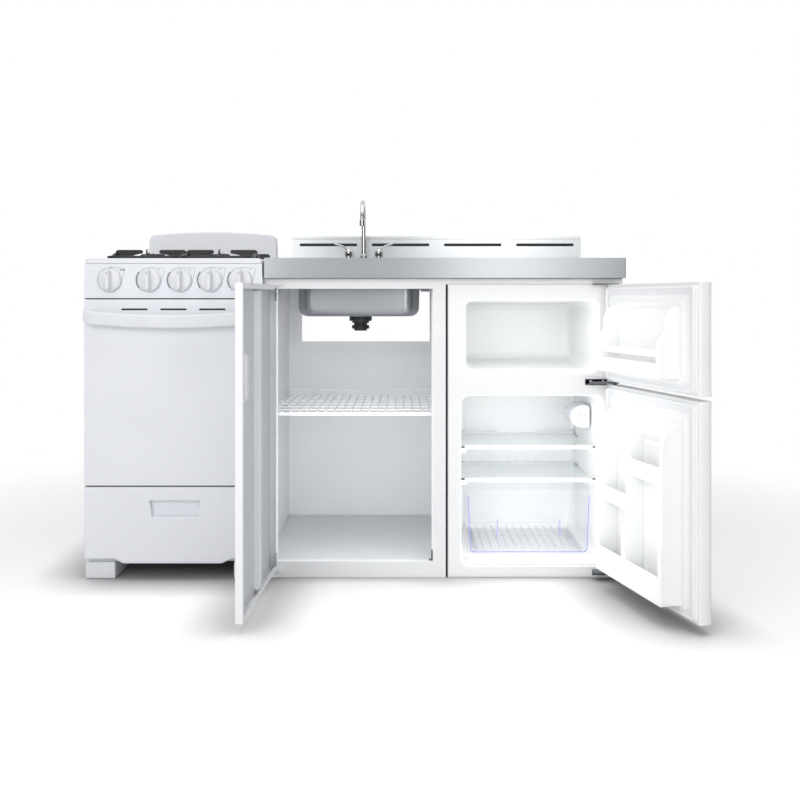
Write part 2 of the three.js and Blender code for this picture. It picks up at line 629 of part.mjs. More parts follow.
// Lever rising outwards from a cap that covers the valve stem
function addLever(name, x, side, baseZ) {
  const pivot = pivotAt(x, faucetY, 0);
  const cap = turned([[6 + gap, baseZ], [11, baseZ], [13, baseZ + 12], [11, baseZ + 20], [7, baseZ + 25],
    [0, baseZ + 26], [0, baseZ + 17], [6 + gap, baseZ + 17], [6 + gap, baseZ]], 14);
  const reach = 47;
  const arm = facing(outlineOf([[side * 4, baseZ + 18], [side * reach, baseZ + 42],
    [side * (reach + 2), baseZ + 48], [side * (reach - 6), baseZ + 47], [side * 2, baseZ + 24]]), -5, 5);
  addPiece(name, join(cap, arm), 'chrome', pivot);
}

// ---- Sink cabinet ----
function addCabinetShell() {
  const top = counterBottom - gap;
  const backY = carcassDepth - panelSheet;
  const ledge = (x) => [shelfFrontY - 8, shelfFrontY + shelfDepth - 22]
    .map((y) => block(x, x + 12, y, y + 30, shelfHeight - wireThick - 6, shelfHeight - wireThick - gap));
  const sideY = [frameThick + gap, backY - gap];
  const left = block(cabinetLeft, cabinetLeft + panelSheet, ...sideY, 0, top);
  addPiece('cabinet_left_side', join(left, ...ledge(cabinetLeft + panelSheet - 1)), 'panelWhite');
  const right = block(cabinetRight - panelSheet, cabinetRight, ...sideY, 0, top);
  addPiece('cabinet_divider', join(right, ...ledge(cabinetRight - panelSheet - 11)), 'panelWhite');
  const back = cut(block(cabinetLeft, cabinetRight, backY, carcassDepth, 0, top),
    block(cabinetLeft + 36, cabinetRight - 28, backY - 1, carcassDepth + 1, plumbingOpening, top - 30));
  addPiece('cabinet_back', back, 'panelWhite');
  addPiece('cabinet_floor', block(cabinetLeft + panelSheet + gap, cabinetRight - panelSheet - gap,
    frameThick + gap, backY - gap, bottomRail - panelSheet, bottomRail), 'grey');
  addFrontFrame(top);
}

// Frame round the cabinet opening, with a filler strip that runs on over the fridge
function addFrontFrame(top) {
  const fillerBottom = fridgeHeight + gap;
  const stripRight = counterRight - 4;
  const shape = outlineOf([[cabinetLeft, 0], [cabinetRight, 0], [cabinetRight, fillerBottom],
    [stripRight, fillerBottom], [stripRight, top], [cabinetLeft, top]]);
  shape.holes.push(new THREE.Path([[cabinetLeft + leftPost, bottomRail],
    [cabinetRight - rightPost, bottomRail], [cabinetRight - rightPost, openingTop],
    [cabinetLeft + leftPost, openingTop]].map(([x, y]) => new THREE.Vector2(x, y))));
  addPiece('front_frame', facing(shape, 0, frameThick), 'panelWhite');
  const catchX = cabinetRight - rightPost - 35;
  addPiece('door_catch', block(catchX, catchX + 26, 2, frameThick, openingTop - 9, openingTop - gap), 'grey');
}

// White wire shelf: wires front to back, carried by cross wires that rest on the side ledges
function addWireShelf() {
  const [x0, x1] = [cabinetLeft + panelSheet + gap, cabinetRight - panelSheet - gap];
  const crossCount = 7;
  const crossPitch = (shelfDepth - wireThick) / (crossCount - 1);
  const wires = [];
  for (let i = 0; i < crossCount; i += 1) {
    const y = shelfFrontY + i * crossPitch;
    wires.push(block(x0, x1, y, y + wireThick, shelfHeight - wireThick, shelfHeight));
  }
  const count = Math.floor((x1 - x0 - 20) / wirePitch) + 1;
  const start = (x0 + x1 - (count - 1) * wirePitch - wireThick) / 2;
  for (let i = 0; i < count; i += 1) {
    const x = start + i * wirePitch;
    wires.push(block(x, x + wireThick, shelfFrontY + 0.5, shelfFrontY + shelfDepth - 0.5,
      shelfHeight - 1, shelfHeight + wireThick - 1));
  }
  addPiece('wire_shelf', join(...wires), 'wire');
}

function addCabinetDoor() {
  const cabinetDoorLeft = cabinetLeft + cabinetDoorInset;
  const axisX = cabinetDoorLeft + 7;
  const axisY = -cabinetDoorGap - cabinetDoorThick / 2 + 1;
  const pivot = pivotAt(axisX, axisY, 0);
  pivot.rotation.z = -THREE.MathUtils.degToRad(cabinetDoorOpen);
  const [x0, x1] = [cabinetDoorLeft - axisX, cabinetDoorLeft + cabinetDoorWidth - axisX];
  const [y0, y1] = [-cabinetDoorGap - cabinetDoorThick - axisY, -cabinetDoorGap - axisY];
  const [z0, z1] = [cabinetDoorBottom, cabinetDoorTop];
  const sheet = 2;
  const lip = 14;
  const outer = block(x0, x1, y0, y1, z0, z1);
  const hollow = block(x0 + sheet, x1 - sheet, y0 + sheet, y1 - sheet, z0 + sheet, z1 - sheet);
  const inside = block(x0 + lip, x1 - lip, y0 + sheet, y1 + 1, z0 + lip, z1 - lip);
  const pullX = x1 - lip - pullWidth - 4;
  const pullHole = block(pullX + 3, pullX + pullWidth - 3, y0 - 1, y0 + 4, pullBottom + 3,
    pullBottom + pullLength - 3);
  const pinHoles = uprightRod(0, 0, z0 - 1, z1 + 1, hingePinRadius + gap, 12);
  const channelX = (x0 + x1) / 2 - 17;
  const channel = cut(block(channelX, channelX + 34, y0 + 1, y1 - sheet, z0 + lip + 4, z1 - lip - 4),
    block(channelX + sheet, channelX + 34 - sheet, y0 + sheet, y1 - 2 * sheet, z0, z1));
  addPiece('cabinet_door', cut(join(cut(outer, hollow, inside), channel), pullHole, pinHoles),
    'panelWhite', pivot);
  const cup = cut(block(pullX, pullX + pullWidth, y0 + sheet + gap, y1 + 6, pullBottom,
    pullBottom + pullLength), block(pullX + 3, pullX + pullWidth - 3, y0, y1 + 4, pullBottom + 3,
    pullBottom + pullLength - 3));
  addPiece('door_pull', cup, 'knob', pivot);
  addCabinetHinges(axisX, axisY);
}

function addCabinetHinges(axisX, axisY) {
  const bracket = (z0, flapFrom, flapTo, pinFrom, pinTo) => join(
    block(axisX - 6, axisX + 26, axisY - 6, -1, z0, z0 + 3),
    block(axisX - 5, axisX + 25, -2.5, -gap, flapFrom, flapTo),
    uprightRod(axisX, axisY, pinFrom, pinTo, hingePinRadius, 12));
  const top = cabinetDoorTop + gap;
  addPiece('cabinet_hinge_top', bracket(top, top + 1, top + 16, top - 8, top + 2), 'steel');
  const low = cabinetDoorBottom - gap;
  addPiece('cabinet_hinge_bottom', bracket(low - 3, low - 16, low - 1, low - 2, low + 8), 'steel');
}

// ---- Fridge ----
const fridgeLeft = cabinetRight + fridgeGap;
const fridgeRight = fridgeLeft + fridgeWidth;
const compartments = {
  freezer: [fridgeLeft + freezerWall, fridgeRight - freezerWall, freezerBottom, freezerTop],
  chiller: [fridgeLeft + fridgeWall, fridgeRight - fridgeWall, chillerBottom, chillerTop],
};

function addFridgeBody() {
  const shell = block(fridgeLeft, fridgeRight, 0, fridgeDepth, 0, fridgeHeight);
  const pockets = Object.values(compartments).map(([x0, x1, z0, z1]) => block(x0 - gap, x1 + gap, -1,
    linerDepth + gap, z0 - gap, z1 + gap));
  const machine = block(fridgeLeft + 20, fridgeRight - 20, fridgeDepth - machineDepth, fridgeDepth + 1, 12,
    machineHeight);
  addPiece('fridge_body', cut(shell, ...pockets, machine), 'panelWhite');
}

// Moulded lining with both compartments: walls lean in towards the back
function liningSpace([x0, x1, z0, z1], wall, draft) {
  const front = roundedOutline(x0 + wall, x1 - wall, z0 + wall, z1 - wall, 22);
  const depth = linerDepth - wall + 2;
  const geometry = new THREE.ExtrudeGeometry(front, { depth, bevelEnabled: false, curveSegments: 4 })
    .rotateX(Math.PI / 2).translate(0, linerDepth - wall, 0);
  const [middleX, middleZ] = [(x0 + x1) / 2, (z0 + z1) / 2];
  const position = geometry.attributes.position;
  for (let i = 0; i < position.count; i += 1) {
    const share = draft * Math.max(0, position.getY(i)) / linerDepth;
    position.setX(i, position.getX(i) - Math.sign(position.getX(i) - middleX) * share);
    position.setZ(i, position.getZ(i) - Math.sign(position.getZ(i) - middleZ) * share);
  }
  return toSolid(geometry);
}

function addFridgeLiner() {
  const flange = block(fridgeLeft + 2, fridgeRight - 2, -1.8, -gap, 4, fridgeHeight - 2);
  const shells = Object.values(compartments).map(([x0, x1, z0, z1]) => block(x0, x1, -1, linerDepth, z0, z1));
  const spaces = Object.values(compartments).map((size) => liningSpace(size, linerSheet, linerDraft));
  const [x0, x1] = compartments.chiller;
  const ledges = [shelfLevel, crisperCoverLevel].flatMap((z) => [x0 + 1, x1 - 24]
    .map((x) => block(x, x + 23, shelfFront + 12, linerDepth - 1, z - 8, z - gap)));
  addPiece('fridge_liner', join(cut(join(flange, ...shells), ...spaces), ...ledges), 'liner');
}

function addShelves() {
  const [x0, x1] = compartments.chiller;
  const [left, right] = [x0 + linerDraft + 4, x1 - linerDraft - 4];
  const back = linerDepth - 22;
  const sheet = join(block(left, right, shelfFront + 2, back, shelfLevel, shelfLevel + 4),
    block(left, right, shelfFront, shelfFront + 12, shelfLevel - 2, shelfLevel + 9),
    block(left, right, back - 10, back, shelfLevel, shelfLevel + 10));
  addPiece('glass_shelf', sheet, 'glass', pivotAt(0, 0, 0));
  const slots = [];
  for (let x = left + 20; x < right - 40; x += 36) {
    slots.push(block(x, x + 24, back - 20, back - 8, crisperCoverLevel - 1, crisperCoverLevel + 5));
  }
  const cover = join(cut(block(left, right, shelfFront + 2, back, crisperCoverLevel, crisperCoverLevel + 4),
    ...slots), block(left, right, shelfFront, shelfFront + 10, crisperCoverLevel - 4, crisperCoverLevel + 8));
  addPiece('crisper_cover', cover, 'glass', pivotAt(0, 0, 0));
}

// Clear drawer with a recessed pull in its front
function addCrisper() {
  const [x0, x1] = compartments.chiller;
  const [left, right] = [x0 + 26, x1 - 26];
  const [y0, y1] = [shelfFront + 4, linerDepth - 30];
  const wall = 3;
  const box = block(left, right, y0, y1, crisperBottom + 8, crisperTop);
  const inside = block(left + wall, right - wall, y0 + wall, y1 - wall, crisperBottom + 8 + wall,
    crisperTop + 1);
  const footEnd = y1 - 20;
  const floorThere = chillerBottom + linerSheet + linerDraft * footEnd / linerDepth;
  const feet = [left + 20, right - 32].map((x) => block(x, x + 12, y0 + 20, footEnd, floorThere + gap,
    crisperBottom + 10));
  const pullLeft = (left + right - crisperPullWidth) / 2;
  const pullRight = pullLeft + crisperPullWidth;
  const pull = block(pullLeft, pullRight, y0 - 1, y0 + crisperPullDepth, crisperPullBottom, crisperPullTop);
  const lining = block(pullLeft - wall, pullRight + wall, y0 + 1, y0 + crisperPullDepth + wall,
    crisperPullBottom - wall, crisperPullTop + wall);
  addPiece('crisper_drawer', cut(join(cut(box, inside), lining, ...feet), pull), 'clear', pivotAt(0, 0, 0));
}

function addThermostat() {
  const [y0, y1] = [150, 290];
  const right = compartments.chiller[1] - linerSheet - linerDraft * y1 / linerDepth - gap;
  const x0 = right - 58;
  const z1 = thermostatTop;
  addPiece('thermostat_box', cut(block(x0, right, y0, y1, z1 - 68, z1),
    deepRod(x0 + 26, z1 - 40, y0 - 1, y0 + 6, 3 + gap, 12)), 'liner');
  const pivot = pivotAt(x0 + 26, 0, z1 - 40);
  addPiece('thermostat_dial', join(toSolid(rod(17, 10, 24).translate(0, y0 - 5 - gap, 0)),
    toSolid(rod(3, 14, 12).translate(0, y0 - 3, 0)),
    block(-3, 3, y0 - 16, y0 - 8, -15, 15)), 'liner', pivot);
}

function addCompressor() {
  const profile = [[0, 18], [62, 18], [74, 30], [78, 60], [78, 110], [70, 140], [45, 158], [0, 164]];
  const [x, y] = [fridgeRight - 130, fridgeDepth - machineDepth / 2];
  const r = 0.7;
  const pot = turned(profile.map(([a, h]) => [a * r, h]), 20, x, y);
  addPiece('compressor', join(pot, block(x - 75, x + 75, y - 30, y + 30, 12 + gap, 20)), 'black');
}

// Insulated door slab with a rounded handle side, bored for its hinge pins
function addDoorPair(name, z0, z1, holes) {
  const axisX = fridgeRight - hingeAxisInset;
  const pivot = pivotAt(axisX, hingeAxisY, 0);
  pivot.rotation.z = THREE.MathUtils.degToRad(fridgeDoorsOpen);
  const [x0, x1] = [fridgeLeft - axisX, fridgeRight - axisX];
  const [front, back] = [doorBackY - doorDepth - hingeAxisY, doorBackY - hingeAxisY];
  const slab = new THREE.Shape();
  slab.moveTo(x1 - 14, front);
  slab.quadraticCurveTo(x1, front, x1, front + 14);
  slab.lineTo(x1, back);
  slab.lineTo(x0 + 8, back);
  slab.quadraticCurveTo(x0, back, x0, back - 8);
  slab.lineTo(x0, front + 22);
  slab.quadraticCurveTo(x0, front, x0 + 22, front);
  const pins = holes.map(([from, to]) => uprightRod(0, 0, from, to, doorPinRadius + gap, 16));
  addPiece(`${name}_door`, cut(raised(slab, z0, z1, 5), ...pins), 'panelWhite', pivot);
  return { pivot, axisX, back };
}

// Door lining: a flat plate, two rounded side walls and the trays between them
function doorWall(x, z0, z1, back, reach, waist) {
  const shape = outlineOf([[back + 2, z0], [reach, z0 + 8], [reach, waist], [reach - 16, waist + 24],
    [reach - 16, z1 - 46], [reach - 30, z1 - 12], [back + 12, z1], [back + 2, z1]]);
  return sideways(shape, x, x + 16);
}

function addFreezerDoor() {
  const z0 = doorSplit + doorSplitGap / 2;
  const { pivot, axisX, back } = addDoorPair('freezer', z0, freezerDoorTop,
    [[z0 - 1, z0 + 9], [freezerDoorTop - 9, freezerDoorTop + 1]]);
  const plate = block(fridgeLeft + 8 - axisX, fridgeRight - 8 - axisX, back + gap, back + 8, z0 + 6,
    freezerDoorTop - 6);
  const [left, right] = [compartments.freezer[0] + 22 - axisX, compartments.freezer[1] - 34 - axisX];
  const [low, high] = [freezerBottom + 16, freezerTop - 16];
  const reach = back + 8 + doorWallReach;
  const walls = [left, right].map((x) => doorWall(x, low, high, back, reach, low + 96));
  const trays = [block(left + 1, right + 15, back + 6, reach - 1, low + 1, low + 6),
    block(left + 1, right + 15, reach - 6, reach - 1, low + 2, low + 40),
    block(left + 1, right + 15, reach - 12, reach - 7, low + 54, low + 72)];
  addPiece('freezer_door_liner', join(plate, ...walls, ...trays), 'liner', pivot);
}

function addFridgeDoor() {
  const z1 = doorSplit - doorSplitGap / 2;
  const { pivot, axisX, back } = addDoorPair('fridge', fridgeDoorBottom, z1,
    [[fridgeDoorBottom - 1, fridgeDoorBottom + 9], [z1 - 9, z1 + 1]]);
  const plate = block(fridgeLeft + 8 - axisX, fridgeRight - 8 - axisX, back + gap, back + 8,
    fridgeDoorBottom + 6, z1 - 6);
  const [left, right] = [compartments.chiller[0] + 26 - axisX, compartments.chiller[1] - 44 - axisX];
  const [low, high] = [chillerBottom + 22, chillerTop - 22];
  const reach = back + 8 + doorWallReach;
  const middle = right - 150;
  const walls = [left, middle, right].map((x) => doorWall(x, low, high, back, reach, low + 150));
  const trays = [block(left + 1, right + 15, back + 6, reach - 1, low + 1, low + 6),
    block(left + 1, right + 15, reach - 6, reach - 1, low + 2, low + 70),
    block(left + 1, middle + 15, back + 6, reach - 18, low + 285, low + 290),
    block(left + 1, middle + 15, reach - 23, reach - 18, low + 287, low + 330),
    block(middle + 1, right + 15, back + 6, reach - 18, low + 190, low + 195),
    block(middle + 1, right + 15, reach - 23, reach - 18, low + 192, low + 232)];
  addPiece('fridge_door_liner', join(plate, ...walls, ...trays), 'liner', pivot);
}

function addFridgeHinges() {
  const x = fridgeRight - hingeAxisInset;
  const middle = (z) => block(x - 70, x + 10, hingeAxisY - 8, -2, z, z + 4);
  const pin = (z0, z1) => uprightRod(x, hingeAxisY, z0, z1, doorPinRadius, 16);
  const z = doorSplit - 2;
  addPiece('hinge_centre', join(middle(z), block(x - 80, x - 18, -3.9, -2.1, z - 3, z + 9),
    pin(z - 11, z + 15)), 'grey');
  const top = freezerDoorTop + gap;
  addPiece('hinge_top', join(block(x - 60, x + 10, hingeAxisY - 8, -2, top, top + 3),
    pin(top - 8, top + 1)), 'grey');
  const low = fridgeDoorBottom - gap;
  addPiece('hinge_bottom', join(block(x - 60, x + 10, hingeAxisY - 8, -2, low - 4, low),
    block(x - 60, x + 10, -4, -2, low - 18, low), pin(low - 1, low + 8)), 'grey');
}

addRangeBase();
addRangeBody();
addOvenLiner();
addOvenRack();
addOvenBurner();
addCooktop();
addBurners();
addGrate('grate_left', rangeMiddle - burnerSpreadX / 2, pivotAt(0, 0, 0));
addGrate('grate_right', rangeMiddle + burnerSpreadX / 2, pivotAt(0, 0, 0));
addControlPanel();
addGasManifold();
['knob_front_left', 'knob_rear_left', 'knob_oven', 'knob_rear_right', 'knob_front_right']
  .forEach((name, i) => addKnob(name, knobPositions[i]));
addOvenDoor();
addRangeDrawer();
addBackguard();
addCountertop();
addSinkBowl();
addFaucet();
addCabinetShell();
addWireShelf();
addCabinetDoor();
addFridgeBody();
addFridgeLiner();
addShelves();
addCrisper();
addThermostat();
addCompressor();
addFreezerDoor();
addFridgeDoor();
addFridgeHinges();

unit.position.set(-originX, -originY, 0);
const kitchenette = new THREE.Group();
kitchenette.add(unit);

export default kitchenette;
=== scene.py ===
import json
import math
import bpy
import bmesh
from mathutils import Matrix, Vector

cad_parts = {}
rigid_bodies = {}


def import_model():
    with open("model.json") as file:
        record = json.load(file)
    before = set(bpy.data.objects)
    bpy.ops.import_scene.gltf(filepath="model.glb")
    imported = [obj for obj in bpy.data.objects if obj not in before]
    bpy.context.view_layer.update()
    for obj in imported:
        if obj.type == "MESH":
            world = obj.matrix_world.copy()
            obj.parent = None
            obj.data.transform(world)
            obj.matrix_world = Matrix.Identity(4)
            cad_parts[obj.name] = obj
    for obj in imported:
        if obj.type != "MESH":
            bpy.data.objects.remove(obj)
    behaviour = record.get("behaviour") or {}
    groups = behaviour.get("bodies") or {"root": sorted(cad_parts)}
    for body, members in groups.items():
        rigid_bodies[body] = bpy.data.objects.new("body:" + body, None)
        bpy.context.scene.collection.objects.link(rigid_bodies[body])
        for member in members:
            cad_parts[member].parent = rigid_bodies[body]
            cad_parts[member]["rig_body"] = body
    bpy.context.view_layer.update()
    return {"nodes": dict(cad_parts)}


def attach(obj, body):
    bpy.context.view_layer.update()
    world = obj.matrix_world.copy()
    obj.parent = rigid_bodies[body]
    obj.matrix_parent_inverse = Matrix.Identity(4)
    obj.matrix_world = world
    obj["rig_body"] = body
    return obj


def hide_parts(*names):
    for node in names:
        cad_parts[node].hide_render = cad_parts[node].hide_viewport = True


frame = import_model()
nodes = frame["nodes"]
print("frame loaded with", len(nodes), "nodes")

# Lengths are millimetres: x from the range's left side, y from the cabinet fronts, z from the
# floor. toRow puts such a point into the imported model's own frame, in metres.
rowOrigin = (821, 53)


def toRow(p):
    return Vector(((p[0] - rowOrigin[0]) / 1000, (p[1] - rowOrigin[1]) / 1000, p[2] / 1000))


# Camera, light and ground
camera = {"x": 897, "distance": 2800, "eyeHeight": 800, "lens": 44.04, "shiftDown": 0.1275}
light = {"sky": 0.34, "floorGlow": 0.42, "glowFall": 3, "contact": 0.18, "paper": "#dedede",
         "shade": "#8c8c8c", "fadeFrom": 1.2, "fadeTo": 2.5, "floorRadius": 3.1, "floorSides": 64,
         "plainWhite": (1, 1, 1, 1)}
# name: place, aim, width, height, watts, whether mirrored in metal, whether it lights matt pieces
lamps = {"fillLamp": ((0.2, -3.7, 0.9), (0.2, 0, 0.5), 3.0, 2.2, 32.5, False),  # into the open cabinets
         "sheenLamp": ((0.8, -4.2, 1.1), (0.8, 0, 0.9), 0.8, 1.4, 13, True, False),  # on the steel
         "leftKey": ((-1.6, -3.3, 1.9), (0.1, 0, 0.5), 1.8, 1.8, 38),
         "rightKey": ((2.0, -3.3, 1.9), (0.1, 0, 0.5), 1.8, 1.8, 13),
         "topLamp": ((0.1, -0.6, 4.2), (0.1, -0.2, 0), 4.0, 3.0, 54),
         "liningLamp": (toRow((1440, -270, 425)), toRow((1560, -262, 425)), 0.42, 0.78, 0.5, False)}
# Soft light through each opening, as from a reflector held before it: its edges and watts
openings = {"cabinet": (541, 991, 47, 826, 1.1), "freezer": (1084, 1468, 585, 797, 0.28),
            "chiller": (1070, 1482, 33, 522, 0.98), "inset": 20, "before": 5, "aimBehind": 500}
card = {"half": 1.9, "low": 0.05, "high": 3.2, "colour": "#0c0c0c",
        "places": {"leftCard": (-2.6, -1.6), "rightCard": (2.6, -1.6)}}


def circle(radius, steps=16):
    return [(radius * math.cos(2 * math.pi * i / steps), radius * math.sin(2 * math.pi * i / steps))
            for i in range(steps)]


def linear(hexColour):
    channels = [int(hexColour[i:i + 2], 16) / 255 for i in (1, 3, 5)]
    return [c / 12.92 if c <= 0.04045 else ((c + 0.055) / 1.055) ** 2.4 for c in channels] + [1]


def emptyTree(holder):
    holder.use_nodes = True
    holder.node_tree.nodes.clear()
    return holder.node_tree


# Each input is a value, or the socket that feeds it
def feed(tree, node, inputs):
    for key, value in inputs.items():
        if isinstance(value, bpy.types.NodeSocket):
            tree.links.new(value, node.inputs[key])
        else:
            node.inputs[key].default_value = value


def addNode(tree, kind, settings=None, inputs=None):
    node = tree.nodes.new(kind)
    for key, value in (settings or {}).items():
        setattr(node, key, value)
    feed(tree, node, inputs or {})
    return node


def shades(tree, amount, dark, pale):
    return addNode(tree, "ShaderNodeMix", {"data_type": "RGBA"},
                   {0: amount, "A": linear(dark), "B": linear(pale)}).outputs["Result"]


def setCamera():
    data = bpy.data.cameras.new("view")
    data.lens = camera["lens"]
    data.sensor_width = 36
    data.shift_y = -camera["shiftDown"]
    data.clip_end = 100
    eye = bpy.data.objects.new("view", data)
    eye.location = toRow((camera["x"], -camera["distance"], camera["eyeHeight"]))
    eye.rotation_euler = (math.pi / 2, 0, 0)
    bpy.context.scene.collection.objects.link(eye)
    bpy.context.scene.camera = eye


def softLamp(name, place, aim, width, height, watts, mirrored=True, lights=True):
    data = bpy.data.lights.new(name, "AREA")
    data.shape = "RECTANGLE"
    data.size, data.size_y = width, height
    data.energy = watts
    lamp = bpy.data.objects.new(name, data)
    lamp.location = place
    lamp.rotation_euler = (Vector(aim) - Vector(place)).to_track_quat("-Z", "Y").to_euler()
    lamp.visible_glossy = mirrored
    lamp.visible_diffuse = lights
    lamp.visible_camera = False
    bpy.context.scene.collection.objects.link(lamp)


# Black card at the side, seen only in the chrome and steel
def darkCard(name, x, y):
    mesh = bpy.data.meshes.new(name)
    across = Vector((-y, x, 0)).normalized() * card["half"]
    corners = [Vector((x, y, z)) + across * side for z in (card["low"], card["high"]) for side in (-1, 1)]
    mesh.from_pydata(corners, [], [(0, 1, 3, 2)])
    black = bpy.data.materials.new("blackCard")
    tree = emptyTree(black)
    matt = addNode(tree, "ShaderNodeBsdfDiffuse", None, {"Color": linear(card["colour"])})
    addNode(tree, "ShaderNodeOutputMaterial", None, {"Surface": matt.outputs[0]})
    mesh.materials.append(black)
    sheet = bpy.data.objects.new(name, mesh)
    for ray in ("camera", "diffuse", "transmission", "volume_scatter", "shadow"):
        setattr(sheet, "visible_" + ray, False)
    bpy.context.scene.collection.objects.link(sheet)


# Rays that show the background: the camera's own, and those through glass or off metal
def seenRays(tree):
    path = addNode(tree, "ShaderNodeLightPath").outputs
    clear = addNode(tree, "ShaderNodeMath", {"operation": "MAXIMUM"},
                    {0: path["Is Camera Ray"], 1: path["Is Transmission Ray"]})
    return addNode(tree, "ShaderNodeMath", {"operation": "MAXIMUM"},
                   {0: clear.outputs[0], 1: path["Is Glossy Ray"]}).outputs[0]


def setWorld():
    world = bpy.data.worlds.new("studio")
    bpy.context.scene.world = world
    tree = emptyTree(world)
    seen = seenRays(tree)
    sky, plain = [addNode(tree, "ShaderNodeBackground", None,
                          {"Color": light["plainWhite"], "Strength": strength})
                  for strength in (light["sky"], 1)]
    both = addNode(tree, "ShaderNodeMixShader", None, {0: seen, 1: sky.outputs[0], 2: plain.outputs[0]})
    addNode(tree, "ShaderNodeOutputWorld", None, {"Surface": both.outputs[0]})


def setGround():
    paper = bpy.data.materials.new("studioPaper")  # matt paper: keeps the shadow, reads white
    tree = emptyTree(paper)
    # Painted contact shadow near the unit: the paper's glow dies away and its colour greys there
    near = addNode(tree, "ShaderNodeAmbientOcclusion", {"samples": 8},
                   {"Distance": light["contact"]}).outputs["AO"]
    away = addNode(tree, "ShaderNodeMath", {"operation": "POWER"}, {0: near, 1: light["glowFall"]})
    most = addNode(tree, "ShaderNodeMath", {"operation": "MULTIPLY"},
                   {0: away.outputs[0], 1: light["floorGlow"]})
    glow = addNode(tree, "ShaderNodeMath", {"operation": "MULTIPLY"},
                   {0: seenRays(tree), 1: most.outputs[0]})
    # Painted shade: the colour runs from paper to grey where the unit is close
    matt = addNode(tree, "ShaderNodeBsdfDiffuse", None,
                   {"Color": shades(tree, near, light["shade"], light["paper"])})
    lit, plain = [addNode(tree, "ShaderNodeEmission", None,
                          {"Color": light["plainWhite"], "Strength": strength})
                  for strength in (glow.outputs[0], 1)]
    both = addNode(tree, "ShaderNodeAddShader", None, {0: matt.outputs[0], 1: lit.outputs[0]})
    # The paper fades into the white round it, so that its edge doesn't show
    place = addNode(tree, "ShaderNodeTexCoord")
    reach = addNode(tree, "ShaderNodeVectorMath", {"operation": "LENGTH"}, {0: place.outputs["Object"]})
    fade = addNode(tree, "ShaderNodeMapRange", {"interpolation_type": "SMOOTHSTEP"},
                   {"Value": reach.outputs["Value"], "From Min": light["fadeFrom"],
                    "From Max": light["fadeTo"]})
    faded = addNode(tree, "ShaderNodeMixShader", None,
                    {0: fade.outputs[0], 1: both.outputs[0], 2: plain.outputs[0]})
    addNode(tree, "ShaderNodeOutputMaterial", None, {"Surface": faded.outputs[0]})
    mesh = bpy.data.meshes.new("floor")
    sides = light["floorSides"]
    around = [(light["floorRadius"] * u, light["floorRadius"] * v, 0) for u, v in circle(1, sides)]
    mesh.from_pydata(around, [], [tuple(range(sides))])
    mesh.materials.append(paper)
    floor = bpy.data.objects.new("floor", mesh)
    bpy.context.scene.collection.objects.link(floor)


setCamera()
setWorld()
setGround()
for name, settings in lamps.items():
    softLamp(name, *settings)
for name, (x, y) in card["places"].items():
    darkCard(name, x, y)
for name in ("cabinet", "freezer", "chiller"):
    left, right, low, high, watts = openings[name]
    x, z = (left + right) / 2, (low + high) / 2
    wide, tall = (right - left - openings["inset"]) / 1000, (high - low - openings["inset"]) / 1000
    softLamp(name + "Lamp", toRow((x, -openings["before"], z)), toRow((x, openings["aimBehind"], z)),
             wide, tall, watts, False)
bpy.context.scene.view_settings.view_transform = "Standard"
print("camera, light and ground ready")

finishes = {}  # name: (material, the record's slot)


def newFinish(name, slotName, sockets):
    material = bpy.data.materials.new(name)
    tree = emptyTree(material)
    shader = addNode(tree, "ShaderNodeBsdfPrincipled", None, sockets)
    addNode(tree, "ShaderNodeOutputMaterial", None, {"Surface": shader.outputs[0]})
    finishes[name] = (material, slotName)
    return tree, shader, addNode(tree, "ShaderNodeTexCoord").outputs["Object"]


# Noise of a real size in millimetres, stretched along an axis where stretch says so
def grain(tree, coords, size, detail=2.0, stretch=(1, 1, 1)):
    spread = addNode(tree, "ShaderNodeMapping", None, {"Vector": coords, "Scale": stretch})
    return addNode(tree, "ShaderNodeTexNoise", None,
                   {"Vector": spread.outputs[0], "Scale": 1000 / size, "Detail": detail}).outputs["Fac"]


def between(tree, amount, low, high):
    return addNode(tree, "ShaderNodeMapRange", None, {"Value": amount, "From Min": 0.3, "From Max": 0.7,
                                                      "To Min": low, "To Max": high}).outputs[0]


def relief(tree, shader, height, depth, strength=1.0):
    bump = addNode(tree, "ShaderNodeBump", None,
                   {"Height": height, "Distance": depth / 1000, "Strength": strength})
    tree.links.new(bump.outputs[0], shader.inputs["Normal"])


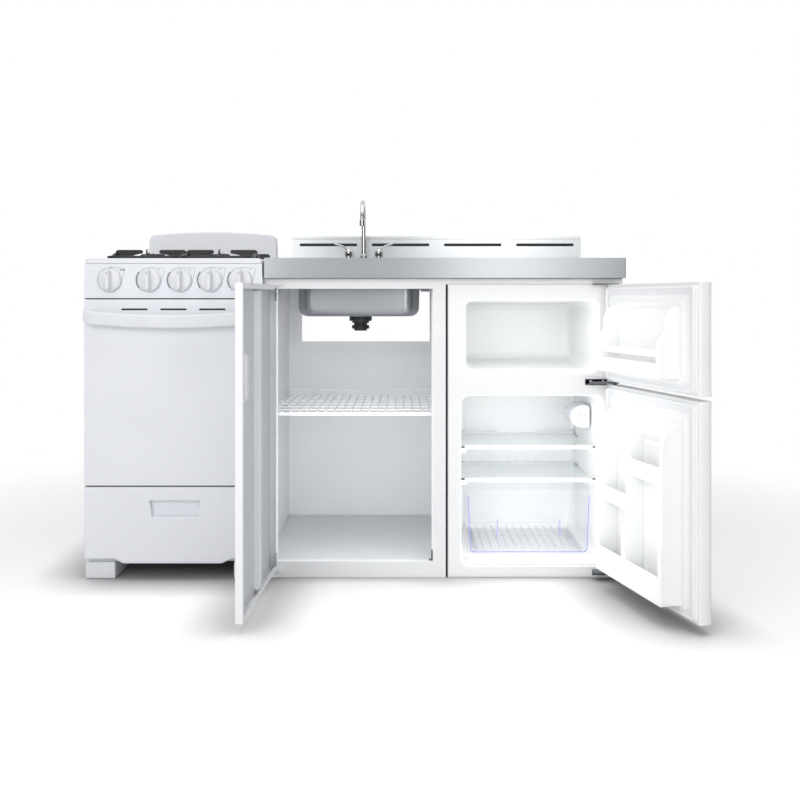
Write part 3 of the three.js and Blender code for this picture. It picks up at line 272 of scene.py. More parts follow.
# Plain coats: the record's slot, index of refraction (0 for metal) and the grains' detail, then a
# grain in millimetres with the dark and pale colour, one with the least and most roughness, and
# one with the relief's depth and strength. The large white pieces keep their roughness over 0.275:
# where it crosses that value, the denoiser draws blotches.
coats = {
    # Vitreous enamel on steel: glassy white, its skin very slightly wavy
    "enamelWhite": ("enamel_white", 1.5, 0, (160, "#e2e4ea", "#e8eaee"), (110, 0.29, 0.33),
                    (18, 0.02, 0.3)),
    # Powder coat on sheet steel: satin, with a fine pebble
    "powderWhite": ("cabinet_white", 1.5, 2, (140, "#ebecee", "#f1f2f3"), (12, 0.42, 0.52),
                    (1.6, 0.03, 0.6)),
    # Pre-painted sheet inside the cabinet: the same coat, a little greyer and flatter
    "sheetGrey": ("cabinet_white", 1.5, 2, (120, "#e4e6e8", "#ebecee"), (12, 0.45, 0.55),
                  (1.8, 0.03, 0.6)),
    # Chrome plate on brass: a mirror with the slightest waviness of the casting
    "chromePlate": ("chrome_plate", 0, 2, (18, "#c4c5c5", "#c4c5c5"), (18, 0.05, 0.1), (14, 0.02, 0.4)),
    # Bright zinc-plated screws and pins
    "zincPlate": ("stainless", 0, 2, (3, "#b9babb", "#dcdddd"), (2, 0.22, 0.34)),
    # Die-cast aluminium of the burner heads: dull, grainy
    "castAluminium": ("cast_aluminium", 0, 3, (1.5, "#8f9194", "#b6b8ba"), (1.5, 0.4, 0.58),
                      (1.5, 0.08, 0.6)),
    # ABS mouldings: even, glossy, with a soft skin
    "knobPlastic": ("knob_white", 1.54, 0, (40, "#dee0e5", "#e4e5e9"), (50, 0.29, 0.33), (14, 0.01, 0.5)),
    "handlePlastic": ("enamel_white", 1.54, 0, (40, "#dddfe4", "#e3e5e9"), (50, 0.29, 0.33),
                      (14, 0.01, 0.5)),
    # Vacuum-formed polystyrene of the fridge lining: milky satin white
    "linerWhite": ("liner_white", 1.55, 2, (90, "#f2f3f4", "#f6f7f7"), (10, 0.34, 0.44), (3, 0.02, 0.5)),
    # Injection-moulded shelf trims: the same white, less milky
    "trimWhite": ("liner_white", 1.55, 2, (60, "#dcdee1", "#e4e6e8"), (10, 0.3, 0.38), (4, 0.012, 0.5)),
    # Soft PVC door gasket: matt; its light grey is painted shade along the door's border
    "gasketShadeGrey": ("hinge_grey", 1.52, 2, (25, "#e6e7e9", "#edeef0"), (5, 0.55, 0.65), (1.4, 0.03, 0.5)),
    # Vinyl-dipped wire: thick white skin that runs a little unevenly
    "wireVinyl": ("wire_white", 1.5, 2, (30, "#f0f1f2", "#f8f9fa"), (6, 0.28, 0.4), (3, 0.06, 0.5)),
    # Satin paint in greys: the cabinet's floor, the door's inner skin, hinges and brackets, printed marks
    "floorGrey": ("floor_grey", 1.5, 2, (50, "#d2d4d6", "#dadcde"), (7, 0.4, 0.52), (2, 0.02, 0.5)),
    "skinGrey": ("cabinet_white", 1.5, 2, (50, "#c8cbcf", "#d2d5d8"), (7, 0.4, 0.52), (2, 0.02, 0.5)),
    "hingeGrey": ("hinge_grey", 1.5, 2, (50, "#595c61", "#6c6f74"), (7, 0.4, 0.52), (2, 0.02, 0.5)),
    "inkGrey": ("hinge_grey", 1.5, 2, (50, "#6d7178", "#858990"), (7, 0.4, 0.52), (2, 0.02, 0.5)),
    "inkBlack": ("black_plastic", 1.5, 2, (50, "#2a2c30", "#3a3c41"), (7, 0.4, 0.52), (2, 0.02, 0.5)),
    # Moulded black polypropylene of the drain, and gloss paint of the compressor's pot
    "blackPlastic": ("black_plastic", 1.5, 2, (20, "#17181a", "#26272a"), (5, 0.48, 0.6),
                     (1.5, 0.03, 0.5)),
    "potBlack": ("compressor_black", 1.5, 2, (20, "#17181a", "#26272a"), (5, 0.2, 0.32),
                 (1.5, 0.03, 0.5)),
    # Copper of the refrigerant lines: bare tube, dulled in patches
    "copperTube": ("cast_aluminium", 0, 2, (25, "#a8693f", "#d08e60"), (12, 0.25, 0.45))}


def makeCoat(name, slotName, bend, detail, colour, rough, skin=None):
    tree, shader, at = newFinish(name, slotName, {"IOR": bend} if bend else {"Metallic": 1.0})
    feed(tree, shader, {"Base Color": shades(tree, grain(tree, at, colour[0], detail), *colour[1:]),
                        "Roughness": between(tree, grain(tree, at, rough[0], detail), *rough[1:])})
    if skin:
        relief(tree, shader, grain(tree, at, skin[0], detail), *skin[1:])


# Stainless sheet, belt-brushed along the counter: fine lines, drawn 90 times longer than they are
# wide. The backsplash's copy is paler: a painted sheen, for the brighter reflection it shows.
steels = {"brushedSteel": (0.5, "#8f9396", "#adb1b4"), "satinSteel": (0.8, "#979a9e", "#abaeb2"),
          "splashSteelPaintedSheen": (0.5, "#bfc2c4", "#d4d7d9")}


def makeSteel(name, line, low, high):
    tree, shader, at = newFinish(name, "stainless", {"Metallic": 1.0, "Anisotropic": 0.75})
    across = addNode(tree, "ShaderNodeTangent", {"direction_type": "RADIAL", "axis": "X"})
    lines = grain(tree, at, line, 3, (0.011, 1, 1))
    feed(tree, shader, {"Tangent": across.outputs[0], "Base Color": shades(tree, lines, low, high),
                        "Roughness": between(tree, lines, 0.285, 0.345)})
    relief(tree, shader, lines, 0.008, 0.5)


# Clear pieces: slot, index of refraction, roughness, then the tint where seen face on and edge on,
# how far in it reaches, and the haze's grain, least, most and what the edge adds to it
clears = {
    # Toughened glass of the shelves: a green-blue tint
    "shelfGlass": ("shelf_glass", 1.5, 0.04, "#f3f9f9", "#cfdfe0", 0.25, 60, 0.1, 0.15, 0.3),
    # Clear polystyrene of the crisper: blue cast that deepens along its edges
    "crisperClear": ("crisper_clear", 1.57, 0.12, "#f8fafe", "#d3ddf2", 0.3, 45, 0.05, 0.08, 0.2)}


def makeClear(name, slotName, bend, rough, face, side, blend, size, least, most, added):
    tree, shader, at = newFinish(name, slotName, {"IOR": bend, "Roughness": rough})
    edge = addNode(tree, "ShaderNodeLayerWeight", None, {"Blend": blend}).outputs["Facing"]
    haze = between(tree, grain(tree, at, size), least, most)
    cover = addNode(tree, "ShaderNodeMath", {"operation": "MULTIPLY_ADD"}, {0: edge, 1: added, 2: haze})
    feed(tree, shader, {"Base Color": shades(tree, edge, face, side), "Alpha": cover.outputs[0]})
    return tree, shader, at


def makeFinishes():
    for name, settings in coats.items():
        makeCoat(name, *settings)
    for name, settings in steels.items():
        makeSteel(name, *settings)
    for name, settings in clears.items():
        tree, shader, at = makeClear(name, *settings)
    relief(tree, shader, grain(tree, at, 6), 0.02, 0.4)  # the crisper's moulded skin

    # The same moulding's thick rim, where the tint gathers
    tree, shader, at = newFinish("crisperEdge", "crisper_clear", {"IOR": 1.57, "Roughness": 0.15})
    feed(tree, shader, {"Base Color": shades(tree, grain(tree, at, 20), "#6478d2", "#8494de"),
                        "Alpha": between(tree, grain(tree, at, 30), 0.62, 0.8)})

    # Cast iron under matt black enamel: a sandy skin of about 1.2 mm
    tree, shader, at = newFinish("castBlack", "black_enamel", {"IOR": 1.5})
    sand = grain(tree, at, 1.2, 3)
    feed(tree, shader, {"Base Color": shades(tree, sand, "#0b0c0e", "#16171a"),
                        "Roughness": between(tree, grain(tree, at, 9), 0.36, 0.5)})
    relief(tree, shader, sand, 0.12, 0.7)

    # Porcelain enamel of the oven cavity: dark grey with pale specks of about 1 mm
    tree, shader, at = newFinish("ovenEnamel", "oven_enamel", {"IOR": 1.5})
    specks = addNode(tree, "ShaderNodeTexVoronoi", None, {"Vector": at, "Scale": 1000 / 3.5})
    spot = addNode(tree, "ShaderNodeMath", {"operation": "LESS_THAN"},
                   {0: specks.outputs["Distance"], 1: 0.16})
    feed(tree, shader, {"Base Color": shades(tree, spot.outputs[0], "#3a3d42", "#8c9096"),
                        "Roughness": between(tree, grain(tree, at, 15), 0.29, 0.38)})
    relief(tree, shader, grain(tree, at, 3), 0.03, 0.6)


makeFinishes()
print("finishes ready:", len(finishes))


def joined(*shapes):
    whole = bmesh.new()
    for shape in shapes:
        spare = bpy.data.meshes.new("spare")
        shape.to_mesh(spare)
        whole.from_mesh(spare)
        bpy.data.meshes.remove(spare)
        shape.free()
    return whole


# Rings of points, each ring joined to the next
def loft(rings, caps=True, closedLoft=False):
    shape = bmesh.new()
    rows = [[shape.verts.new(p) for p in ring] for ring in rings]
    count = len(rows[0])
    for a, b in zip(rows, rows[1:] + ([rows[0]] if closedLoft else [])):
        for i in range(count):
            j = (i + 1) % count
            shape.faces.new((a[i], a[j], b[j], b[i]))
    if caps and not closedLoft:
        shape.faces.new(list(reversed(rows[0])))
        shape.faces.new(rows[-1])
    return shape


def box(x0, x1, y0, y1, z0, z1):
    ring = [(x0, y0), (x1, y0), (x1, y1), (x0, y1)]
    return loft([[(x, y, z) for x, y in ring] for z in (z0, z1)])


# (radius, height) pairs turned about an upright axis, or one that points to the front or the side
def lathe(profile, x, y, z=0, steps=40, facing="up"):
    rings = []
    for r, h in profile:
        ring = []
        for u, v in circle(r, steps):
            ring.append({"up": (x + u, y + v, z + h), "front": (x + u, y - h, z + v),
                         "side": (x + h, y + u, z + v)}[facing])
        rings.append(ring)
    return loft(rings)


def arc(cx, cz, radius, start, end, steps=24):
    angles = [math.radians(start + (end - start) * i / steps) for i in range(steps + 1)]
    return [(cx + radius * math.cos(a), cz + radius * math.sin(a)) for a in angles]


def roundRect(x0, x1, y0, y1, radius, steps=6):
    points = []
    for cx, cy, start in ((x1 - radius, y0 + radius, -90), (x1 - radius, y1 - radius, 0),
                          (x0 + radius, y1 - radius, 90), (x0 + radius, y0 + radius, 180)):
        points += arc(cx, cy, radius, start, start + 90, steps)
    return points


# Rings of a rounded rectangle seen from the front, each at its own depth and drawn in at its edges
def frontRings(x0, x1, z0, z1, stages, radius, steps=6):
    rings = []
    for y, *inset in stages:
        across, up = inset[0], inset[-1]
        rings.append([(x, y, z) for x, z in
                      roundRect(x0 + across, x1 - across, z0 + up, z1 - up, radius, steps)])
    return rings


# Outline given across and up, run from y0 back to y1; "side" runs it across instead
def prism(outline, low, high, facing="front"):
    put = {"front": lambda u, v, w: (u, w, v), "side": lambda u, v, w: (w, u, v)}[facing]
    return loft([[put(u, v, w) for u, v in outline] for w in (low, high)])


def smoothPath(points, steps=8):
    path = []
    for i in range(len(points) - 1):
        p0, p1 = Vector(points[max(i - 1, 0)]), Vector(points[i])
        p2, p3 = Vector(points[i + 1]), Vector(points[min(i + 2, len(points) - 1)])
        for k in range(steps):
            t = k / steps
            path.append(0.5 * ((2 * p1) + (p2 - p0) * t + (2 * p0 - 5 * p1 + 4 * p2 - p3) * t * t
                               + (3 * p1 - p0 - 3 * p2 + p3) * t * t * t))
    return path + [Vector(points[-1])]


# A section [(across, up)] carried along a path; scale(t) may taper it
def sweep(path, section, scale=lambda t: 1, up=Vector((0, 0, 1)), closed=False):
    path = [Vector(p) for p in path]
    rings = []
    count = len(path)
    for i, p in enumerate(path):
        ahead = path[(i + 1) % count] if closed else path[min(i + 1, count - 1)]
        behind = path[i - 1] if closed else path[max(i - 1, 0)]
        along = (ahead - behind).normalized()
        across = along.cross(up)
        if across.length < 1e-4:
            across = along.cross(Vector((0, 1, 0)))
        across.normalize()
        upward = across.cross(along).normalized()
        s = scale(i / max(count - 1, 1))
        rings.append([p + across * u * s + upward * v * s for u, v in section])
    return loft(rings, closedLoft=closed)


def bevelled(shape, width, segments, minAngle, clamped, where):
    chosen = [e for e in shape.edges if len(e.link_faces) == 2
              and e.calc_face_angle(0) > math.radians(minAngle) and where(*(v.co for v in e.verts))]
    bmesh.ops.bevel(shape, geom=chosen, offset=width, segments=segments, profile=0.5,
                    affect="EDGES", clamp_overlap=clamped)
    return shape


def roundEdges(shape, width, segments=2, minAngle=35):
    bmesh.ops.remove_doubles(shape, verts=shape.verts, dist=0.004)
    return bevelled(shape, width, segments, minAngle, False, lambda a, b: True)


def softBox(x0, x1, y0, y1, z0, z1, width, segments=2):
    return roundEdges(box(x0, x1, y0, y1, z0, z1), width, segments)


def meshOf(name, shape):
    mesh = bpy.data.meshes.new(name)
    shape.to_mesh(mesh)
    shape.free()
    return mesh


def cleaned(shape):
    bmesh.ops.remove_doubles(shape, verts=shape.verts, dist=0.002)
    bmesh.ops.recalc_face_normals(shape, faces=shape.faces)
    return shape


def turned(shape, pin, degrees, axis="Z"):
    bmesh.ops.rotate(shape, verts=shape.verts, cent=pin,
                     matrix=Matrix.Rotation(math.radians(degrees), 3, axis))
    return shape


# Copies of one shape spaced round an axis through a point
def around(count, corners, place, axis):
    shapes = [turned(box(*corners), (0, 0, 0), 360 / count * i, axis) for i in range(count)]
    for shape in shapes:
        bmesh.ops.translate(shape, verts=shape.verts, vec=place)
    return shapes


# Where node is given, the piece stands for that CAD solid and rides its body. A turn is (x, y of an
# upright hinge line, degrees): doors are drawn shut and stored open
def finishPiece(name, shape, finish, node=None, body=None, turn=None, sharp=42):
    cleaned(shape)
    if turn:
        turned(shape, Vector((turn[0], turn[1], 0)), turn[2])
    for v in shape.verts:
        v.co = toRow(v.co)
    return finishMesh(name, meshOf(name, shape), finish, node, body, sharp)


def finishMesh(name, mesh, finish, node=None, body=None, sharp=42):
    material, slotName = finishes[finish]
    mesh.materials.clear()
    mesh.materials.append(material)
    for face in mesh.polygons:
        face.use_smooth = True
    mesh.set_sharp_from_angle(angle=math.radians(sharp))
    piece = bpy.data.objects.new(name, mesh)
    bpy.context.scene.collection.objects.link(piece)
    even = piece.modifiers.new("evenShading", "WEIGHTED_NORMAL")
    even.keep_sharp = True
    body = body or (nodes[node]["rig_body"] if node else "kitchenette")
    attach(piece, body)
    if node:
        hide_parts(node)
    return piece


def fromRow(p):
    return Vector((p[0] * 1000 + rowOrigin[0], p[1] * 1000 + rowOrigin[1], p[2] * 1000))


# The CAD solid with its flat faces merged and its edges rounded
def dressed(node, finish, edge=1.5, segments=2, minAngle=40, where=lambda a, b: True):
    shape = bmesh.new()
    shape.from_mesh(nodes[node].data)
    bmesh.ops.remove_doubles(shape, verts=shape.verts, dist=2e-5)
    bmesh.ops.dissolve_limit(shape, angle_limit=math.radians(0.6), verts=shape.verts, edges=shape.edges)
    bevelled(shape, edge / 1000, segments, minAngle, True, lambda a, b: where(fromRow(a), fromRow(b)))
    return finishMesh(node + "_skin", meshOf(node + "_skin", shape), finish, node)


# Geometry Nodes: one shape on every point of a mesh of points, each turned by its own angles
def finishRow(name, shape, points, finish, node=None, body=None, turns=None, sharp=42):
    seed = bpy.data.objects.new(name + "Seed", meshOf(name + "Seed", cleaned(shape)))
    tree = bpy.data.node_groups.new(name + "Nodes", "GeometryNodeTree")
    sockets = [tree.interface.new_socket(label, in_out=way, socket_type="NodeSocket" + kind)
               for label, way, kind in (("Geometry", "INPUT", "Geometry"), ("Piece size", "INPUT", "Float"),
                                        ("Piece", "INPUT", "Object"), ("Geometry", "OUTPUT", "Geometry"))]
    given = addNode(tree, "NodeGroupInput").outputs
    shown = addNode(tree, "GeometryNodeObjectInfo", {"transform_space": "ORIGINAL"},
                    {"Object": given["Piece"]})
    turn = addNode(tree, "GeometryNodeInputNamedAttribute", {"data_type": "FLOAT_VECTOR"},
                   {"Name": "turn"})
    spun = addNode(tree, "FunctionNodeEulerToRotation", None, {0: turn.outputs["Attribute"]})
    placed = addNode(tree, "GeometryNodeInstanceOnPoints", None,
                     {"Points": given["Geometry"], "Instance": shown.outputs["Geometry"],
                      "Rotation": spun.outputs[0], "Scale": given["Piece size"]})
    real = addNode(tree, "GeometryNodeRealizeInstances", None, {0: placed.outputs[0]})
    painted = addNode(tree, "GeometryNodeSetMaterial", None,
                      {"Geometry": real.outputs[0], "Material": finishes[finish][0]})
    addNode(tree, "NodeGroupOutput", None, {"Geometry": painted.outputs[0]})

    spots = bpy.data.meshes.new(name + "Spots")
    spots.from_pydata([toRow(p) for p in points], [], [])
    angles = spots.attributes.new("turn", "FLOAT_VECTOR", "POINT")
    for i, angle in enumerate(turns or [(0, 0, 0)] * len(points)):
        angles.data[i].vector = angle
    holder = bpy.data.objects.new(name + "Holder", spots)
    bpy.context.scene.collection.objects.link(holder)
    step = holder.modifiers.new("repeat", "NODES")
    step.node_group = tree
    step[sockets[1].identifier] = 0.001
    step[sockets[2].identifier] = seed
    bpy.context.view_layer.update()
    ready = holder.evaluated_get(bpy.context.evaluated_depsgraph_get())
    mesh = bpy.data.meshes.new_from_object(ready)
    bpy.data.objects.remove(holder)
    return finishMesh(name, mesh, finish, node, body, sharp)


# Gas range
rangeMiddle = 254
burnerPlaces = {"burner_front_left": (147, 150), "burner_rear_left": (147, 430),
                "burner_front_right": (361, 150), "burner_rear_right": (361, 430)}
rangeCase = {"seamEdge": 2, "panelEdge": 3, "cooktopEdge": 4, "baseEdge": 4, "backguardEdge": 4,
             "knobLine": 851, "knobBand": 30, "low": 798, "high": 914, "shoulder": 15, "drop": 10,
             "drawIn": 3, "dropFrom": 898, "crown": 896, "faceBehind": 10, "backguardFace": 565}


def makeRangeCase():
    case = rangeCase
    dressed("range_base", "enamelWhite", case["baseEdge"], 3)
    dressed("range_body", "enamelWhite", case["seamEdge"])
    top = dressed("cooktop", "enamelWhite", case["cooktopEdge"], 4, minAngle=60,
                  where=lambda a, b: min(a.z, b.z) > case["crown"] and max(a.y, b.y) < case["faceBehind"])
    panel = dressed("control_panel", "enamelWhite", case["panelEdge"], 3, minAngle=60,
                    where=lambda a, b: (max(a.y, b.y) < -20
                                        and abs((a.z + b.z) / 2 - case["knobLine"]) > case["knobBand"]))
    # The case draws in a little towards the top, and its shoulders are rounded over
    low, high, dropFrom = case["low"], case["high"], case["dropFrom"]
    for v in list(top.data.vertices) + list(panel.data.vertices):
        p = fromRow(v.co)
        side = 1 if p.x < rangeMiddle else -1
        depth = rangeMiddle - abs(p.x - rangeMiddle)
        if depth < case["shoulder"]:
            edge = 1 - depth / case["shoulder"]
            v.co.x += side * case["drawIn"] * edge * (p.z - low) / (high - low) / 1000
            v.co.z -= case["drop"] * edge ** 2 * max(0, p.z - dropFrom) / (high - dropFrom) / 1000
    dressed("backguard", "enamelWhite", case["backguardEdge"], 3, minAngle=60,
            where=lambda a, b: max(a.y, b.y) < case["backguardFace"])
    dressed("oven_liner", "ovenEnamel", 1)
    dressed("oven_burner", "castAluminium", 1)
    manifold = nodes["gas_manifold"].data.materials
    manifold.clear()
    manifold.append(finishes["castAluminium"][0])
    # Dark strips in the two long gaps of the front: painted shade, so that the gaps read dark
    finishPiece("panel_seal", box(4, 504, -25.2, -22, 796.2, 799.2), "blackPlastic")
    finishPiece("drawer_seal", box(6, 502, -31, -12, 266.05, 266.6), "blackPlastic",
                body=nodes["range_drawer_front"]["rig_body"])


burner = {"top": 910, "ports": 30, "portRing": 35.6, "portRise": 6.6,
          "head": [(0, -21), (25, -21), (39.4, -8), (39.4, 0.5), (46, 0.5), (46.4, 1.5), (45, 2.8),
                   (40, 3.4), (36.5, 5), (35.4, 9), (0, 9)],
          "cap": [(0, 9.05), (35, 9.05), (37.2, 9.6), (37.6, 10.8), (36.4, 12.2), (30, 12.9), (0, 13)]}


def makeBurners():
    for node, (x, y) in burnerPlaces.items():
        for part, finish in (("head", "castAluminium"), ("cap", "castBlack")):
            finishPiece(node + "_" + part, lathe(burner[part], x, y, burner["top"], 48), finish, node)
        spots = [(x + u, y + v, burner["top"] + burner["portRise"])
                 for u, v in circle(burner["portRing"], burner["ports"])]
        finishRow(node + "_ports", box(-1.6, 1.6, -1.2, 1.2, -2.6, 2.6), spots, "castBlack", node,
                  turns=[(0, 0, 2 * math.pi * i / burner["ports"]) for i in range(burner["ports"])])


grate = {"half": 106.8, "front": 40.2, "back": 539.8, "cross": 290, "barWidth": 9, "barHeight": 9,
         "frameTop": 923, "corner": 28, "top": 945, "foot": 915, "reach": 25, "plate": 9, "climb": 12,
         "prong": 5.6, "hornTop": 938, "burners": (150, 430), "feet": (80, 290, 500)}


def barSection(width, height, radius=2.4):
    return roundRect(-width / 2, width / 2, -height / 2, height / 2, radius, 3)


# Side finger seen from the front: deep at the frame, its underside rising to a blunt tip
def fingerPlate(centreX, side, y):
    top, foot, reach, root = grate["top"], grate["foot"], grate["reach"], grate["half"]
    edge = [(root, foot)] + arc(root - 9, top - 9, 9, 0, 90, 6) + arc(reach + 6, top - 6, 6, 90, 235, 8)
    under = smoothPath([(*edge[-1], 0), (reach + 17, top - 13.5, 0), (reach + 32, top - 18, 0),
                        (reach + 44, top - 23, 0), (reach + 56, foot, 0)], 4)
    outline = [(centreX + side * d, z) for d, z in edge + [(p.x, p.y) for p in under[1:]]]
    return roundEdges(prism(outline, y - grate["plate"] / 2, y + grate["plate"] / 2), 2, 3, minAngle=60)


# Long finger from the frame or the cross bar towards a burner, with a pointed prong at the frame
def longFinger(centreX, by, end, lowZ):
    away = 1 if end > by else -1
    tip, back = by + away * (grate["reach"] + 1), by + away * (grate["reach"] + 26)
    prong = grate["prong"]
    path = [(centreX, end, lowZ), (centreX, (end + back) / 2, lowZ + 1.5), (centreX, back, lowZ + 8),
            (centreX, tip, lowZ + 14)]
    parts = [sweep(smoothPath(path, 5), barSection(prong, 10, 2.2), lambda t: 1 - 0.26 * t)]
    if end != grate["cross"]:
        horn = [(centreX, back, lowZ + 4), (centreX, back, grate["hornTop"]),
                (centreX + 2.4, back + 3 * away, grate["hornTop"] + 5.8)]
        parts.append(sweep(smoothPath(horn, 4), barSection(prong, prong, 2), lambda t: 1 - 0.45 * t,
                           up=Vector((0, 1, 0))))
    return parts


def makeGrate(node, centreX):
    x0, x1, y0, y1 = centreX - grate["half"], centreX + grate["half"], grate["front"], grate["back"]
    bar = barSection(grate["barWidth"], grate["barHeight"])
    half = grate["barWidth"] / 2
    lowZ = grate["frameTop"] - grate["barHeight"] / 2
    cross = grate["cross"]
    outline = roundRect(x0 + half, x1 - half, y0 + half, y1 - half, grate["corner"] - half, 8)
    rail = []
    for i, (x, y) in enumerate(outline):
        nx, ny = outline[(i + 1) % len(outline)]
        steps = 24 if math.dist((x, y), (nx, ny)) > 60 else 1
        rail += [(x + (nx - x) * k / steps, y + (ny - y) * k / steps) for k in range(steps)]

    def railHeight(x, y):  # the side bars climb to the root of each side finger
        near = min(abs(y - by) for by in grate["burners"])
        atSide = min(x - x0, x1 - x) < 12
        return lowZ + (grate["climb"] * max(0, min(1, (56 - near) / 34)) if atSide else 0)
    parts = [sweep([(x, y, railHeight(x, y)) for x, y in rail], bar, closed=True),
             sweep([(x0 + 3, cross, lowZ), (x1 - 3, cross, lowZ)], bar)]
    for by in grate["burners"]:
        parts += [fingerPlate(centreX, side, by) for side in (-1, 1)]
        for end in (y0 + 4, cross) if by < cross else (cross, y1 - 4):
            parts += longFinger(centreX, by, end, lowZ)
    foot = [(0, 910.4), (4.6, 910.4), (5.4, 913), (3.8, 917), (3.8, 920), (0, 920)]
    parts += [lathe(foot, x, y, 0, 14) for y in grate["feet"] for x in (x0 + half, x1 - half)]
    finishPiece(node + "_casting", joined(*parts), "castBlack", node, sharp=50)


makeRangeCase()
makeBurners()
makeGrate("grate_left", 147)
makeGrate("grate_right", 361)
print("range case, burners and grates ready")

knob = {"places": {"knob_front_left": 74, "knob_rear_left": 186, "knob_oven": 274,
                   "knob_rear_right": 359.5, "knob_front_right": 445},
        "height": 851, "face": -27, "line": (15, 22.5),
        "skirt": [(5.6, 0), (32.6, 0), (33, 0.8), (32.2, 4.6), (30.6, 7.2), (27.5, 8.6), (20, 9.8),
                  (0, 10.6)],
        # each ring of the grip: depth, width, height and corner
        "grip": [(8, 15.6, 60, 7.7), (11, 14.4, 58.4, 7.1), (18, 13.4, 57, 6.6), (25, 12.4, 55.6, 6.1),
                 (28.4, 11.4, 54.2, 5.6), (29.6, 9.6, 51.6, 4.7), (29.9, 7, 48, 3.4)]}


def makeKnobs():
    z, face = knob["height"], knob["face"]
    for node, x in knob["places"].items():
        rings = [[(x + u, face - depth, z + v) for u, v in
                  roundRect(-wide / 2, wide / 2, -tall / 2, tall / 2, corner)]
                 for depth, wide, tall, corner in knob["grip"]]
        skirt = lathe(knob["skirt"], x, face, z, 64, "front")
        finishPiece(node + "_moulding", joined(skirt, loft(rings)), "knobPlastic", node, sharp=60)
        line = roundRect(x - 0.9, x + 0.9, z + knob["line"][0], z + knob["line"][1], 0.8, 4)
        finishPiece(node + "_pointer", prism(line, -56.98, -56.6), "inkGrey", node)


# Printed marks: a ribbon along a path on the panel's face, a tenth of a millimetre proud
markDepth = (-25.1, -24.7)


def ribbon(points, width, face=markDepth[0], back=markDepth[1]):
    sides = ([], [])
    for i, (x, z) in enumerate(points):
        ax, az = points[max(i - 1, 0)]
        bx, bz = points[min(i + 1, len(points) - 1)]
        length = math.hypot(bx - ax, bz - az) or 1
        nx, nz = -(bz - az) / length * width / 2, (bx - ax) / length * width / 2
        sides[0].append((x + nx, z + nz))
        sides[1].append((x - nx, z - nz))
    return prism(sides[0] + sides[1][::-1], face, back)


def dotMark(x, z, radius, steps=14, depths=markDepth):
    return prism([(x + u, z + v) for u, v in circle(radius, steps)], *depths)


def makePanelMarks():
    z = knob["height"]
    fine, bold = [], []
    for node, x in knob["places"].items():
        corner = (x + 42, z + 31)
        atEnd = node == "knob_front_left"
        fine.append(ribbon(arc(x, z, 35.2, -24, -258 if atEnd else -270)
                           + [(x + 12, z + 35), (x + 38, z + 34), corner], 0.8))
        fine.append(ribbon([corner, (x + 41, z + 24), (x + 32.2, z - 14.3)], 0.8))
        if atEnd:  # the oven's thermostat: a bar at the upper right
            bold.append(prism(roundRect(x + 28, x + 43, z + 27, z + 30.5, 1), *markDepth))
            bold.append(dotMark(x + 3, z + 35.5, 1.6))
        else:
            bold.append(ribbon(arc(x, z, 37, 142, 218), 3.2))
            bold += [dotMark(x + 27, z + 30.2, 1.7), dotMark(x - 26, z - 26.5, 1.3)]
    finishPiece("panel_outlines", joined(*fine), "inkGrey")
    finishPiece("panel_marks", joined(*bold), "inkGrey")


makeKnobs()
makePanelMarks()
print("knobs and panel marks ready")

ovenDoor = {"edge": 4, "left": 4, "right": 504, "bottom": 270, "top": 796, "handleEnds": (13, 495),
            "endTop": 767, "middleTop": 754, "height": 42, "front": -75, "thick": 16, "postWidth": 28,
            "steps": 40}


# The face's own edges, without the lower one, which turns into the hinge pockets
def doorFaceEdge(a, b):
    def outer(p):
        return (min(abs(p.x - ovenDoor["left"]), abs(p.x - ovenDoor["right"])) < 1
                or min(abs(p.z - ovenDoor["bottom"]), abs(p.z - ovenDoor["top"])) < 1)
    return max(a.y, b.y) < -20 and a.z + b.z > 2 * ovenDoor["bottom"] + 1 and outer(a) and outer(b)


def makeOvenDoor():
    d = ovenDoor
    dressed("oven_door_panel", "enamelWhite", d["edge"], 3, minAngle=60, where=doorFaceEdge)
    dressed("oven_door_liner", "ovenEnamel", 1.2)
    x0, x1 = d["handleEnds"]
    rings = []
    for i in range(d["steps"] + 1):
        t = i / d["steps"]
        fromEnd = min(t, 1 - t)
        top = d["endTop"] - (d["endTop"] - d["middleTop"]) * 4 * t * (1 - t) - 0.5
        edge = min(1, math.sin(fromEnd * 20 * math.pi / 2) if fromEnd < 0.05 else 1)
        tall = d["height"] * (0.82 + 0.18 * edge) - 3
        deep = d["thick"] * (0.72 + 0.28 * edge)
        ring = roundRect(0, deep, top - tall, top, 6 * (0.7 + 0.3 * edge), 5)
        rings.append([(x0 + (x1 - x0) * t, d["front"] + 0.2 + u + (1 - edge) * 3, v) for u, v in ring])
    posts = [softBox(x, x + d["postWidth"], -64, -35.2, 733, 762, 5, 3)
             for x in (x0 + 3, x1 - 3 - d["postWidth"])]
    finishPiece("oven_door_grip", joined(loft(rings), *posts), "handlePlastic", "oven_door_handle",
                sharp=60)


def makeRangeDrawer():
    dressed("range_drawer_front", "enamelWhite", 4, 3, minAngle=50,
            where=lambda a, b: max(a.y, b.y) < -30)
    dressed("range_drawer_box", "floorGrey", 0.8)


rack = {"x0": 31, "x1": 477, "y0": 94.9, "y1": 554.5, "z": 458, "frame": 3, "wire": 2.1, "cross": 2.6,
        "pitch": 15.2, "corner": 14, "crossFrom": 110}


